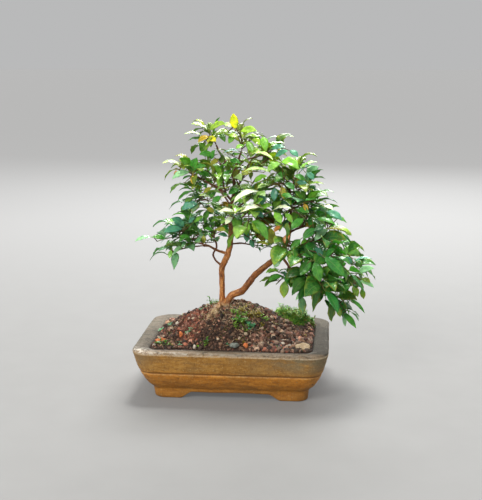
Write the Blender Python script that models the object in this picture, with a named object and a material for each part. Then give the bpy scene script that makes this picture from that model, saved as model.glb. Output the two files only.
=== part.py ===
"""A jaboticaba bonsai: a slender two-stemmed tree on a heap of soil in an oblong glazed pot.

Lengths below are in millimetres, in the pot's own frame: X along the pot, Y away from the front,
Z up, with the pot's centre over the origin and its feet at Z = 0. The meshes are made in metres,
and the last step moves the whole object so that its box stands centred on the world's origin.
"""

import math
import random
from dataclasses import dataclass

import bmesh
import bpy
from mathutils import Euler, Vector, noise
from mathutils.bvhtree import BVHTree

MM = 0.001

# Driving dimensions of the pot
POT_LENGTH = 240.0
POT_DEPTH = 185.0
POT_HEIGHT = 65.0
POT_CORNER = 24.0
CORNER_TIGHTENING = 0.42
FOOT_HEIGHT = 13.0
FLOOR_UNDERSIDE = 10.0
FLOOR_TOP = 18.0
ARCH_HEIGHT = 8.4
FRONT_ARCH_HALF = 63.0
SIDE_ARCH_HALF = 38.0
ARCH_SLOPE = 17.0
DRAIN_RADIUS = 8.0
DRAIN_X = 52.0
SCREEN_SIDE = 27.0
SCREEN_THICKNESS = 1.2
SCREEN_HOLES = 3

# Outline of the pot as (height, inset from the rim's outer edge), from under the floor, round the
# foot, up the outside, over the rim and down the inside to the floor
POT_OUTSIDE = (
    (FLOOR_UNDERSIDE, 38.0),
    (1.0, 37.2),
    (0.0, 36.4),
    (0.0, 25.8),
    (0.9, 24.8),
    (FOOT_HEIGHT, 23.4),
    (15.0, 21.4),
    (18.0, 18.4),
    (22.5, 14.8),
    (28.5, 11.2),
    (35.2, 7.8),
    (35.8, 9.0),
    (37.0, 9.0),
    (37.8, 6.9),
    (44.0, 4.8),
    (50.5, 3.0),
    (57.0, 1.5),
    (59.6, 0.6),
    (61.8, 0.0),
    (64.0, 0.8),
    (POT_HEIGHT, 2.6),
    (64.8, 14.0),
)
POT_INSIDE = (
    (63.6, 18.4),
    (60.5, 20.2),
    (40.0, 20.8),
    (25.0, 26.0),
    (FLOOR_TOP, 34.0),
)

# Driving dimensions of the planting
FIT_GAP = 0.35
SOIL_EDGE = 64.0
MOUND_RISE = 40.5
MOUND_CENTRE_X = 2.0
MOUND_CENTRE_Y = 7.0
MOUND_REACH_LEFT = 100.0
MOUND_REACH_RIGHT = 92.0
MOUND_REACH_Y = 76.0
MOSS_CENTRE = (72.0, 40.0)
MOSS_HALF_SIZES = (25.0, 20.0)
MOSS_THICKNESS = 7.0
TRUNK_SIDES = 10
BRANCH_SIDES = 5
WEED_DEPTH = 4.0


@dataclass
class Habit:
    """How a plant's shoots are built: its leaf pairs, its leaves and its twigs."""

    spacing: float
    leaf: float
    width_share: float
    half_thick: float
    petiole: float
    twig: float
    clearance: float


TREE_HABIT = Habit(
    spacing=11.8,
    leaf=28.0,
    width_share=0.49,
    half_thick=0.5,
    petiole=2.6,
    twig=0.75,
    clearance=0.35,
)
WEED_HABIT = Habit(
    spacing=4.6,
    leaf=5.8,
    width_share=0.66,
    half_thick=0.36,
    petiole=1.0,
    twig=0.5,
    clearance=0.2,
)
FIRST_PAIR = 0.16
FORK_STEP = 0.26
LEAF_TRIES = 24
LEAF_FOLD = 0.30
LEAF_STATIONS = ((0.32, 0.97), (0.70, 0.82))

# The two stems, as points of (x, y, z, radius)
TRUNK = (
    (-16.0, 1.0, 84.0, 5.0),
    (-16.5, 0.5, 97.0, 4.8),
    (-16.8, 0.0, 104.0, 4.2),
    (-17.0, 0.0, 115.0, 3.7),
    (-17.0, 0.0, 135.0, 3.6),
    (-17.4, 0.0, 150.0, 3.8),
    (-13.4, 0.0, 160.0, 4.0),
    (-9.0, 0.0, 171.0, 3.8),
    (-6.3, 1.0, 184.0, 3.6),
    (-5.2, 1.0, 209.0, 3.3),
    (-4.0, 0.0, 231.0, 2.8),
    (-1.0, -1.0, 256.0, 2.2),
    (-4.0, 0.0, 270.0, 1.9),
    (-12.0, 0.0, 285.0, 1.6),
    (-21.0, 1.0, 300.0, 1.3),
    (-24.0, 2.0, 307.0, 1.1),
)
SECOND_LEADER = (
    (-14.0, -1.0, 100.0, 3.4),
    (-9.5, -2.5, 109.0, 4.2),
    (-4.5, -3.0, 116.5, 4.5),
    (2.0, -3.0, 119.5, 4.6),
    (9.5, -4.0, 123.0, 4.5),
    (17.0, -5.0, 132.5, 4.2),
    (25.5, -6.0, 144.0, 4.0),
    (34.0, -8.0, 152.0, 3.9),
    (45.0, -10.0, 161.5, 3.7),
    (57.0, -11.5, 171.5, 3.5),
    (65.0, -11.0, 188.0, 2.9),
    (69.0, -10.0, 204.0, 2.3),
    (70.0, -8.0, 227.0, 1.8),
    (69.0, -4.0, 246.0, 1.5),
    (67.0, 0.0, 258.0, 1.2),
)
ROOTS = (
    (
        (-17, 0, 103.5, 3.8), (-20, -7.5, 102, 4.3), (-24, -15, 99.5, 4.0),
        (-27, -21, 96, 4.2), (-29.5, -26, 91.5, 3.7), (-30.5, -29, 84, 2.6),
    ),
    ((-16, 1, 101, 3.0), (-26, 7, 101.5, 2.4), (-37, 14, 96, 1.8), (-45, 19, 88, 1.4)),
    ((-12, -2, 104, 2.6), (-8, -9, 100.5, 2.4), (-3, -17, 96, 2.0), (3, -24, 89, 1.4)),
    ((-15, 1, 101, 3.0), (-8, 12, 102, 2.2), (0, 22, 95, 1.6)),
    ((-7.5, -3, 113, 1.9), (-8, -5.5, 106, 1.7), (-8, -8, 100, 1.6), (-8, -10, 92, 1.3)),
)

# Branches: the wood as points of (x, y, z, radius), out to the tip where a leafy spray goes on
BRANCHES = {
    "crown_middle": ((-4, 0, 268, 1.7), (3, 1, 286, 1.6), (7, 1, 298, 1.2)),
    "crown_right": ((3, 1, 286, 1.3), (17, 0, 290, 1.2), (28, 0, 293, 1.0)),
    "upper_left": ((-4, 0, 237, 1.7), (-17, -8, 252, 1.6), (-32, -12, 261, 1.3), (-45, -16, 269, 1.0)),
    "upper_left_rise": ((-17, -8, 252, 1.1), (-24, -3, 265, 1.0), (-31, 0, 271, 0.9)),
    "upper_front": ((-8, -3, 242, 1.1), (-12, -13, 254, 1.0), (-13, -18, 263, 0.9)),
    "upper_left_drop": ((-27, -10.5, 258, 1.1), (-32, -13, 251, 1.0), (-37, -15, 246, 0.9)),
    "centre_right": ((-4, 0, 222, 1.4), (9, -5, 234, 1.3), (23, -8, 244, 1.0)),
    "front": ((-5, 1, 207, 1.5), (-2, -15, 213, 1.4), (5, -29, 217, 1.0)),
    "back_upper": ((-3, 0, 245, 1.5), (4, 19, 258, 1.3), (9, 35, 267, 1.0)),
    "back_left": ((-4, 0, 229, 1.5), (-15, 19, 239, 1.3), (-25, 35, 247, 1.0)),
    "back_low": ((-5, 1, 203, 1.4), (-10, 21, 204, 1.3), (-15, 37, 208, 1.0)),
    "middle_left": (
        (-11, 0, 170, 1.8), (-23, -5, 175, 1.7), (-32, -10, 181, 1.5),
        (-40, -13, 184, 1.3), (-49, -16, 189, 1.0),
    ),
    "middle_left_low": ((-32, -10, 181, 1.2), (-42, -18, 182.5, 1.1), (-53, -24, 182, 1.0)),
    "lower_left": (
        (-17, 0, 153, 1.6), (-26, 3, 161, 1.4), (-29, 6, 168, 1.3), (-25, 9, 176, 1.3),
        (-28, 13, 187, 1.2), (-36, 17, 192, 1.1), (-47, 21, 196, 1.0),
    ),
    "lower_left_back": ((-28, 13, 187, 1.1), (-30, 24, 193, 0.9)),
    "low_centre": ((-6, 1, 182, 1.3), (6, 8, 182, 1.2), (17, 16, 179, 1.1), (24, 22, 177, 0.9)),
    "hanging": (
        (58, -12, 172, 1.9), (64, -14, 164, 1.7), (70, -18, 157, 1.6), (77, -22, 152, 1.5),
        (90, -25, 149, 1.4), (107, -27, 143, 1.2), (117, -28, 140, 1.0),
    ),
    "hanging_near": ((68, -17, 159, 1.0), (66, -24, 153, 0.9), (63, -29, 149, 0.8)),
    "hanging_thread": ((77, -22, 152, 1.0), (81, -26, 144, 0.9), (84, -29, 137, 0.8)),
    "hanging_fall": ((104, -26.5, 144, 1.1), (112, -25, 136, 1.0), (120, -24, 128, 0.8)),
    "hanging_front": ((88, -25, 149.5, 1.2), (93, -35, 152, 1.0), (99, -44, 152, 0.9)),
    "right_arm": ((63, -11, 184, 1.8), (80, -6, 181, 1.6), (100, -4, 178, 1.4), (118, -4, 174, 1.0)),
    "right_arm_back": ((98, -4, 178, 1.2), (104, 14, 173, 1.1), (109, 30, 168, 0.9)),
    "right_arm_front": ((96, -4.5, 179, 1.2), (107, -14, 179, 1.0), (116, -24, 177, 0.9)),
    "right_front": ((78, -6.5, 181, 1.3), (88, -19, 188, 1.1), (96, -29, 193, 0.9)),
    "right_upper": ((68, -10, 200, 1.6), (84, 0, 206, 1.4), (98, 8, 209, 1.0)),
    "right_high": ((82, -1.5, 205, 1.2), (90, 3, 218, 1.0), (94, 3, 228, 0.9)),
    "front_right": ((66, -11, 192, 1.4), (71, -26, 189, 1.2), (76, -38, 185, 0.9)),
    "back_right": ((69, -9, 213, 1.5), (78, 14, 212, 1.3), (88, 33, 208, 1.0)),
    "inner_left": ((69, -10, 206, 1.1), (60, -15, 209, 0.9)),
    "inner_back": ((69.5, -9, 216, 1.2), (60, 5, 222, 1.0), (50, 15, 227, 0.9)),
    "inner_front": ((70, -8, 230, 1.1), (76, -16, 233, 0.9)),
    "leader_back": ((69, -4, 245, 1.1), (77, 7, 250, 0.9)),
    "leader_front": ((69, -4, 247, 1.1), (67, -14, 253, 0.9)),
}

# Leafy sprays: the main shoot's end, the ends of its side shoots, and the size of its leaves
SPRAYS = {
    "crown_left": ((-38, 4, 326), ((-30, -12, 318), (-44, 14, 305)), 0.84),
    "crown_middle": ((0, -2, 330), ((20, -8, 320), (12, 18, 312)), 0.84),
    "crown_right": ((50, 0, 304), ((42, -18, 292), (36, 20, 297)), 0.88),
    "upper_left": ((-66, -22, 278), ((-58, -34, 264), (-56, -2, 278)), 0.90),
    "upper_left_rise": ((-38, 4, 288), ((-46, 14, 276),), 0.88),
    "upper_front": ((-14, -24, 284), ((-28, -32, 272), (4, -32, 268)), 0.90),
    "upper_left_drop": ((-56, -20, 236), ((-42, -34, 238),), 0.92),
    "centre_right": ((46, -14, 260), ((40, -32, 246), (38, 8, 256)), 1.0),
    "front": ((28, -56, 242), ((-6, -50, 228), (34, -46, 224), (14, -52, 204)), 1.0),
    "back_upper": ((14, 58, 284), ((32, 46, 268), (-8, 52, 272)), 0.95),
    "back_left": ((-42, 54, 260), ((-50, 38, 244), (-18, 58, 244)), 0.95),
    "back_low": ((-20, 64, 214), ((-40, 50, 218), (6, 56, 210)), 1.0),
    "middle_left": ((-96, -22, 188), ((-66, -34, 200), (-78, -2, 200)), 0.95),
    "middle_left_low": ((-80, -36, 174), ((-62, -42, 184),), 0.95),
    "lower_left": ((-82, 28, 198), ((-60, 10, 214), (-66, 40, 206)), 0.95),
    "lower_left_back": ((-42, 42, 202), ((-22, 44, 192),), 0.95),
    "low_centre": ((42, 38, 174), ((36, 16, 187),), 0.85),
    "leader_top": ((78, -2, 282), ((52, -14, 276), (62, 18, 276)), 1.0),
    "leader_back": ((87, 26, 257), ((92, 4, 261),), 1.0),
    "leader_front": ((62, -32, 264), ((48, -22, 266), (84, -28, 258)), 1.05),
    "inner_front": ((92, -30, 242), ((70, -38, 232), (96, -12, 232)), 1.0),
    "inner_left": ((42, -30, 206), ((46, -26, 222),), 0.95),
    "inner_back": ((30, 30, 234), ((52, 36, 232), (34, 14, 222)), 1.0),
    "right_upper": ((127, 18, 197), ((111, 34, 206), (105, -8, 211)), 1.0),
    "right_high": ((92, -2, 250), ((100, -8, 236), (84, 24, 236)), 1.0),
    "right_arm": ((156, 4, 153), ((142, -14, 174), (138, 22, 174)), 1.08),
    "right_arm_back": ((124, 54, 152), ((134, 36, 164), (98, 54, 168)), 1.0),
    "right_arm_front": ((142, -44, 158), ((124, -46, 172),), 1.14),
    "right_front": ((120, -48, 194), ((100, -50, 206), (116, -28, 208)), 1.12),
    "front_right": ((92, -64, 172), ((66, -58, 190), (94, -52, 186)), 1.14),
    "back_right": ((99, 62, 204), ((108, 42, 213), (80, 56, 218)), 1.0),
    "hanging": ((148, -36, 140), ((130, -44, 126), (132, -14, 150)), 1.12),
    "hanging_near": ((54, -38, 140), (), 0.90),
    "hanging_thread": ((86, -32, 126), (), 0.76),
    "hanging_fall": ((140, -26, 104), ((132, -10, 118),), 0.95),
    "hanging_front": ((114, -64, 140), ((92, -62, 150), (122, -46, 152)), 1.14),
}

# Seedlings: where the stem stands, its shoot's end above the soil, and the ends of its side shoots
WEEDS = {
    "weed_left": ((-84, -60), (-2, -2, 7), ((5, 0, 5), (-6, 1, 4))),
    "weed_front": ((-31, -61), (2, -2, 6), ((-6, -1, 4), (6, 2, 4))),
    "weed_centre": ((9, -34), (-2, -3, 9), ((6, -3, 6), (-7, -1, 6))),
    "weed_trunk": ((-31, 3), (-2, -1, 9), ()),
}

# Loose stones: where each lies, its half sizes, how it is turned, and its material
STONES = {
    "beige_stone": ((88, -57), (10.0, 6.4, 6.0), 0.15, "beige_stone"),
    "grey_pebble": ((5, -63), (6.6, 4.4, 3.6), 0.1, "grey_pebble"),
    "brick_chip_left": ((-90, -42), (7.6, 4.8, 4.6), 0.4, "brick"),
    "brick_chip_middle": ((-65, -38), (3.6, 3.2, 4.2), 0.9, "brick"),
    "brick_chip_centre": ((18.5, -61), (3.6, 3.2, 4.8), 0.3, "brick"),
}
STONE_POINTS = 22
STONE_RISE = 0.5

# Base colour and roughness of each material
COLOURS = {
    "glazed_stoneware": ((0.33, 0.19, 0.07, 1.0), 0.45),
    "planting_mix": ((0.10, 0.055, 0.04, 1.0), 0.95),
    "bark": ((0.36, 0.14, 0.06, 1.0), 0.70),
    "leaf": ((0.10, 0.28, 0.04, 1.0), 0.40),
    "moss": ((0.10, 0.25, 0.03, 1.0), 0.95),
    "weed": ((0.13, 0.34, 0.05, 1.0), 0.60),
    "screen_plastic": ((0.03, 0.03, 0.03, 1.0), 0.60),
    "beige_stone": ((0.50, 0.40, 0.27, 1.0), 0.85),
    "grey_pebble": ((0.24, 0.26, 0.25, 1.0), 0.70),
    "brick": ((0.55, 0.17, 0.07, 1.0), 0.90),
}


# Scene and material helpers


def clear_scene():
    for old in list(bpy.data.objects):
        bpy.data.objects.remove(old, do_unlink=True)


def material(name):
    """A Principled material of this name, made once."""
    found = bpy.data.materials.get(name)
    if found:
        return found
    colour, roughness = COLOURS[name]
    made = bpy.data.materials.new(name)
    made.use_nodes = True
    shader = made.node_tree.nodes["Principled BSDF"]
    shader.inputs["Base Color"].default_value = colour
    shader.inputs["Roughness"].default_value = roughness
    shader.inputs["Metallic"].default_value = 0.0
    return made


def add_object(name, points, faces, surface, smooth=True):
    """A mesh object from points in millimetres."""
    mesh = bpy.data.meshes.new(name)
    mesh.from_pydata([tuple(c * MM for c in p) for p in points], [], faces)
    mesh.validate()
    made = bpy.data.objects.new(name, mesh)
    mesh.materials.append(material(surface))
    bpy.context.scene.collection.objects.link(made)
    if smooth:
        mesh.shade_smooth()
        mesh.set_sharp_from_angle(angle=math.radians(40))
    return made


def as_helper(made):
    """Marks a cutter or a piece that a union takes in."""
    made.hide_render = True
    made.display_type = "WIRE"
    return made


def apply_boolean(target, helpers, operation):
    """Joins or cuts the target with all the helpers at once, and removes them."""
    group = bpy.data.collections.new(target.name + "_helpers")
    for helper in helpers:
        group.objects.link(helper)
    step = target.modifiers.new("join_or_cut", "BOOLEAN")
    step.operand_type = "COLLECTION"
    step.collection = group
    step.operation = operation
    step.solver = "EXACT"
    graph = bpy.context.evaluated_depsgraph_get()
    result = bpy.data.meshes.new_from_object(target.evaluated_get(graph))
    target.modifiers.clear()
    target.data = result
    for helper in helpers:
        bpy.data.objects.remove(helper, do_unlink=True)
    bpy.data.collections.remove(group)


def drop_scraps(target):
    """Keeps the largest connected body of a mesh: a cut may set a loose crumb free."""
    mesh = bmesh.new()
    mesh.from_mesh(target.data)
    waiting = set(mesh.verts)
    bodies = []
    while waiting:
        front = [waiting.pop()]
        body = set(front)
        while front:
            for edge in front.pop().link_edges:
                for vertex in edge.verts:
                    if vertex in waiting:
                        waiting.discard(vertex)
                        body.add(vertex)
                        front.append(vertex)
        bodies.append(body)
    bodies.sort(key=len)
    loose = [vertex for body in bodies[:-1] for vertex in body]
    bmesh.ops.delete(mesh, geom=loose, context="VERTS")
    mesh.to_mesh(target.data)
    mesh.free()


def loft(rings, in_triangles=False):
    """A closed skin over rings of equal count, flat at both ends; rings run counter-clockwise."""
    count = len(rings[0])
    points = [p for ring in rings for p in ring]
    faces = [tuple(reversed(range(count)))]
    for level in range(len(rings) - 1):
        low, high = level * count, (level + 1) * count
        for i in range(count):
            j = (i + 1) % count
            if in_triangles:
                faces += [(low + i, low + j, high + j), (low + i, high + j, high + i)]
            else:
                faces.append((low + i, low + j, high + j, high + i))
    last = (len(rings) - 1) * count
    faces.append(tuple(last + i for i in range(count)))
    return points, faces


# The pot


def corner_radius(inset):
    return POT_CORNER - CORNER_TIGHTENING * inset


def rounded_rectangle(inset, z, corner_steps=5, along_x=1, along_y=1):
    """The pot's plan at this inset: four arcs, with spare points along the sides."""
    half_x, half_y = POT_LENGTH / 2 - inset, POT_DEPTH / 2 - inset
    radius = corner_radius(inset)
    arcs = []
    for sign_x, sign_y, start in ((1, 1, 0), (-1, 1, 90), (-1, -1, 180), (1, -1, 270)):
        centre = (sign_x * (half_x - radius), sign_y * (half_y - radius))
        for step in range(corner_steps + 1):
            turn = math.radians(start + 90 * step / corner_steps)
            arcs.append((centre[0] + radius * math.cos(turn), centre[1] + radius * math.sin(turn), z))
    points = []
    for index, point in enumerate(arcs):
        points.append(point)
        if (index + 1) % (corner_steps + 1):
            continue
        following = arcs[(index + 1) % len(arcs)]
        spare = along_x if abs(following[0] - point[0]) > abs(following[1] - point[1]) else along_y
        for step in range(1, spare):
            share = step / spare
            points.append(tuple(a + (b - a) * share for a, b in zip(point, following)))
    return points


def arch_cutter(name, half_span, reach, along_x):
    """A long bar with an arched section, which opens the skirt between two feet."""
    section = []
    steps = 6
    for side in (-1, 1):
        half = []
        for step in range(steps + 1):
            share = step / steps
            rise = ARCH_HEIGHT * math.sin(share * math.pi / 2) ** 1.6
            half.append((side * (half_span - ARCH_SLOPE * share ** 1.7), rise))
        half.insert(0, (side * (half_span + 1.0), -2.0))
        section += half if side == -1 else list(reversed(half))
    rings = []
    for end in (-reach, reach):
        if along_x:
            rings.append([(end, across, z) for across, z in section])
        else:
            rings.append([(across, -end, z) for across, z in section])
    points, faces = loft([list(reversed(ring)) for ring in rings])
    return as_helper(add_object(name, points, faces, "glazed_stoneware", smooth=False))


def drain_cutter(x):
    rings = []
    for z in (FLOOR_UNDERSIDE - 3, FLOOR_TOP + 3):
        turns = [2 * math.pi * i / 16 for i in range(16)]
        rings.append([(x + DRAIN_RADIUS * math.cos(t), DRAIN_RADIUS * math.sin(t), z) for t in turns])
    points, faces = loft(rings)
    return as_helper(add_object("drain_cutter", points, faces, "glazed_stoneware", smooth=False))


def make_pot():
    points, faces = loft([rounded_rectangle(inset, z) for z, inset in POT_OUTSIDE + POT_INSIDE])
    pot = add_object("pot", points, faces, "glazed_stoneware")
    cutters = [
        arch_cutter("front_arch", FRONT_ARCH_HALF, POT_DEPTH, along_x=False),
        arch_cutter("side_arch", SIDE_ARCH_HALF, POT_LENGTH, along_x=True),
        drain_cutter(-DRAIN_X),
        drain_cutter(DRAIN_X),
    ]
    apply_boolean(pot, cutters, "DIFFERENCE")
    return pot


def box_points(centre, half_sizes):
    x, y, z = centre
    a, b, c = half_sizes
    corners = [(x + a, y + b), (x - a, y + b), (x - a, y - b), (x + a, y - b)]
    return loft([[(*corner, z + end) for corner in corners] for end in (-c, c)])


def make_drain_screen(name, x):
    """A square of plastic mesh that keeps the soil from falling through a drain hole."""
    middle = FLOOR_TOP + FIT_GAP + SCREEN_THICKNESS / 2
    half = SCREEN_SIDE / 2
    points, faces = box_points((x, 0, middle), (half, half, SCREEN_THICKNESS / 2))
    screen = add_object(name, points, faces, "screen_plastic", smooth=False)
    pitch = SCREEN_SIDE / (SCREEN_HOLES + 0.6)
    hole = pitch * 0.31
    cutters = []
    for column in range(SCREEN_HOLES):
        for row in range(SCREEN_HOLES):
            offset = [(i - (SCREEN_HOLES - 1) / 2) * pitch for i in (column, row)]
            centre = (x + offset[0], offset[1], middle)
            points, faces = box_points(centre, (hole, hole, SCREEN_THICKNESS))
            cutter = add_object("screen_hole", points, faces, "screen_plastic", smooth=False)
            cutters.append(as_helper(cutter))
    apply_boolean(screen, cutters, "DIFFERENCE")
    return screen


# The soil


def smooth_step(low, high, value):
    share = min(max((value - low) / (high - low), 0.0), 1.0)
    return share * share * (3 - 2 * share)


def soil_height(x, y):
    """Height of the soil: a heap under the trunk, steeper on the right, and a low rise under the moss."""
    reach_x = MOUND_REACH_LEFT if x < MOUND_CENTRE_X else MOUND_REACH_RIGHT
    radius = ((x - MOUND_CENTRE_X) / reach_x) ** 2 + ((y - MOUND_CENTRE_Y) / MOUND_REACH_Y) ** 2
    power = 1.1 + 1.2 * smooth_step(-10.0, 35.0, x)
    heap = MOUND_RISE * max(1.0 - radius, 0.0) ** power
    rise = 11.0 * math.exp(-(((x - MOSS_CENTRE[0]) / 30.0) ** 2) - ((y - MOSS_CENTRE[1]) / 24.0) ** 2)
    from_wall = min(POT_LENGTH / 2 - 18.0 - abs(x), POT_DEPTH / 2 - 18.0 - abs(y))
    fade = smooth_step(0.0, 12.0, from_wall)
    coarse = noise.noise(Vector((x / 9.0, y / 9.0, 0.0)))
    fine = noise.noise(Vector((x / 4.0, y / 4.0, 5.0)))
    return SOIL_EDGE + (heap + rise + 1.5 * coarse + 0.9 * fine) * fade


def wall_inset(z):
    """Inset of the pot's inner wall at this height."""
    inner = sorted(POT_INSIDE)
    for (z0, inset0), (z1, inset1) in zip(inner, inner[1:]):
        if z <= z1:
            return inset0 + (inset1 - inset0) * (z - z0) / (z1 - z0)
    return inner[-1][1]


def soil_rings(lift=0.0):
    """Rings from the flat bottom up along the wall and in over the top."""
    rings = []
    for z in (FLOOR_TOP + FIT_GAP, 25.0, 40.0, 60.5, SOIL_EDGE - 0.8):
        raised = z + lift if z > 60.5 else z
        inset = wall_inset(z) + 2 * FIT_GAP
        rings.append(rounded_rectangle(inset, raised, corner_steps=2, along_x=6, along_y=4))
    for share in (0.94, 0.85, 0.74, 0.62, 0.50, 0.38, 0.26, 0.14):
        ring = []
        for x, y, _ in rings[4]:
            x, y = MOUND_CENTRE_X + (x - MOUND_CENTRE_X) * share, y * share
            ring.append((x, y, soil_height(x, y) + lift))
        rings.append(ring)
    return rings


def screen_pockets():
    half = SCREEN_SIDE / 2 + FIT_GAP
    made = []
    for x in (-DRAIN_X, DRAIN_X):
        points, faces = box_points((x, 0, FLOOR_TOP), (half, half, SCREEN_THICKNESS + 2 * FIT_GAP))
        made.append(as_helper(add_object("screen_pocket", points, faces, "planting_mix", smooth=False)))
    return made


def make_soil(cutters):
    points, faces = loft(soil_rings(), in_triangles=True)
    soil = add_object("soil", points, faces, "planting_mix", smooth=False)
    apply_boolean(soil, cutters, "DIFFERENCE")
    drop_scraps(soil)
    return soil


# The wood


def tube(path, sides, grow=0.0):
    """Rings round a path of (x, y, z, radius); grow widens and lengthens it, for a cutter."""
    centres = [Vector(p[:3]) for p in path]
    tangents = []
    for i, centre in enumerate(centres):
        before = centres[max(i - 1, 0)]
        after = centres[min(i + 1, len(centres) - 1)]
        tangents.append((after - before).normalized())
    if grow:
        centres[0] = centres[0] - tangents[0] * grow
        centres[-1] = centres[-1] + tangents[-1] * grow
    side = tangents[0].cross(Vector((0.31, 0.95, 0.05))).normalized()
    rings = []
    for centre, tangent, point in zip(centres, tangents, path):
        side = (side - tangent * side.dot(tangent)).normalized()
        other = tangent.cross(side)
        radius = point[3] + grow
        ring = []
        for i in range(sides):
            turn = 2 * math.pi * i / sides
            ring.append(centre + (side * math.cos(turn) + other * math.sin(turn)) * radius)
        rings.append(ring)
    return loft(rings)


def make_trunk():
    points, faces = tube(TRUNK, TRUNK_SIDES)
    trunk = add_object("trunk", points, faces, "bark")
    pieces = [(SECOND_LEADER, TRUNK_SIDES - 2)]
    pieces += [(root, BRANCH_SIDES) for root in ROOTS]
    pieces += [(branch, BRANCH_SIDES) for branch in BRANCHES.values()]
    helpers = []
    for path, sides in pieces:
        points, faces = tube(path, sides)
        helpers.append(as_helper(add_object("wood_piece", points, faces, "bark")))
    apply_boolean(trunk, helpers, "UNION")
    return trunk


def root_pockets():
    """Cutters that leave a fitting hollow in the soil for the trunk's foot and the roots."""
    made = []
    for path, sides in [(TRUNK[:4], TRUNK_SIDES)] + [(root, BRANCH_SIDES) for root in ROOTS]:
        points, faces = tube(path, sides, grow=0.45)
        made.append(as_helper(add_object("root_pocket", points, faces, "bark", smooth=False)))
    points, faces = tube(SECOND_LEADER[:3], TRUNK_SIDES - 2, grow=0.45)
    made.append(as_helper(add_object("root_pocket", points, faces, "bark", smooth=False)))
    return made


# The foliage


class Crowd:
    """What already stands in the air, so that nothing new crosses it."""

    def __init__(self):
        self.members = []

    def add(self, points, faces, owner):
        low = [min(p[i] for p in points) for i in range(3)]
        high = [max(p[i] for p in points) for i in range(3)]
        self.members.append((low, high, BVHTree.FromPolygons(points, faces), owner))

    def meets(self, points, faces, passing=()):
        """Whether a trial shape crosses a member whose owner isn't let past."""
        low = [min(p[i] for p in points) for i in range(3)]
        high = [max(p[i] for p in points) for i in range(3)]
        tree = None
        for their_low, their_high, other, owner in self.members:
            if owner in passing:
                continue
            if any(low[i] > their_high[i] or high[i] < their_low[i] for i in range(3)):
                continue
            tree = tree or BVHTree.FromPolygons(points, faces)
            if tree.overlap(other):
                return True
        return False


class Sprig:
    """A stem with shoots and leaves, grown as one closed skin from four-cornered rings."""

    def __init__(self):
        self.points = []
        self.quads = {}
        self.triangles = []

    def ring(self, corners):
        start = len(self.points)
        self.points += corners
        return tuple(range(start, start + 4))

    def skin(self, low, high):
        """Joins two rings with four quads, and returns them in order round the ring."""
        made = [(low[k], low[(k + 1) % 4], high[(k + 1) % 4], high[k]) for k in range(4)]
        for k, quad in enumerate(made):
            self.quads[quad] = k
        return made

    def state(self):
        return len(self.points), dict(self.quads), list(self.triangles)

    def go_back(self, state):
        count, self.quads, self.triangles = state
        del self.points[count:]

    def close_foot(self, ring):
        self.triangles += [(ring[2], ring[1], ring[0]), (ring[3], ring[2], ring[0])]

    def blade(self, low, leaf, grow=0.0):
        """Skins a leaf on from the ring low, up to its pointed tip."""
        for corners in leaf.rings(grow):
            high = self.ring(corners)
            self.skin(low, high)
            low = high
        self.points.append(leaf.midrib(1.0))
        last = len(self.points) - 1
        for k in range(4):
            self.triangles.append((low[k], low[(k + 1) % 4], last))

    def faces(self):
        """All triangles; opposite quads are split alike, so that a thin blade's faces never cross."""
        made = list(self.triangles)
        for (a, b, c, d), k in self.quads.items():
            made += [(a, b, c), (a, c, d)] if k % 2 == 0 else [(b, c, d), (b, d, a)]
        return made


def square_ring(centre, side, up, half):
    corners = ((1, 1), (-1, 1), (-1, -1), (1, -1))
    return [centre + side * (a * half) + up * (b * half) for a, b in corners]


def frame_of(direction, wish):
    """Side and up vectors across a direction, with up as near the wish as it can be."""
    up = wish - direction * wish.dot(direction)
    up = up.normalized() if up.length > 1e-4 else direction.orthogonal().normalized()
    return up.cross(direction), up


def turned_to(ring, points, corners):
    """The ring of indices, turned so that each lies nearest the corner of the same place."""
    def strain(turn):
        return sum((points[ring[(i + turn) % 4]] - corners[i]).length for i in range(4))
    best = min(range(4), key=strain)
    return tuple(ring[(i + best) % 4] for i in range(4))


def trial_mesh(rings, tip):
    """A closed trial shape over rings of four, pointed at its end."""
    points, faces = loft(rings)
    faces.pop()
    last = 4 * (len(rings) - 1)
    for k in range(4):
        faces.append((last + k, last + (k + 1) % 4, len(points)))
    return [Vector(p) for p in points] + [tip], faces


@dataclass
class Leaf:
    """Where one leaf starts, how its midrib runs, which way its face looks, and its size."""

    root: Vector
    start: Vector
    finish: Vector
    face_up: Vector
    length: float
    width: float
    habit: Habit

    def direction(self, t):
        return (self.start * (1 - t) + self.finish * t).normalized()

    def midrib(self, t, steps=8):
        """A point on the midrib; t runs from 0 at the petiole's end to 1 at the tip."""
        at = self.root + self.start * self.habit.petiole
        for step in range(steps):
            at = at + self.direction(t * (step + 0.5) / steps) * (self.length * t / steps)
        return at

    def blade_ring(self, t, half_width, grow):
        """Right edge, midrib above, left edge and midrib below, at one place along the blade."""
        centre, direction = self.midrib(t), self.direction(t)
        side, up = frame_of(direction, self.face_up)
        half_width, half_thick = half_width + grow, self.habit.half_thick * (1.1 - 0.3 * t) + grow
        lift = up * (half_width * math.sin(LEAF_FOLD))
        reach = side * (half_width * math.cos(LEAF_FOLD))
        rib = up * half_thick
        return [centre + reach + lift, centre + rib, centre - reach + lift, centre - rib]

    def rings(self, grow=0.0):
        return [self.blade_ring(t, self.width / 2 * share, grow) for t, share in LEAF_STATIONS]

    def trial(self, grow):
        """The blade beyond its petiole, made a little larger."""
        neck = self.blade_ring(0.1, self.width * 0.2, grow * 0.5)
        return trial_mesh([neck] + self.rings(grow), self.midrib(1.0) + self.direction(1.0) * grow)

    def alone(self, root_corners, grow):
        """The leaf's closed skin by itself, from just off its twig."""
        sprig = Sprig()
        foot = sprig.ring([corner + self.start * 0.2 for corner in root_corners])
        sprig.close_foot(foot)
        sprig.blade(foot, self, grow)
        return sprig.points, sprig.faces()


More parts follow.
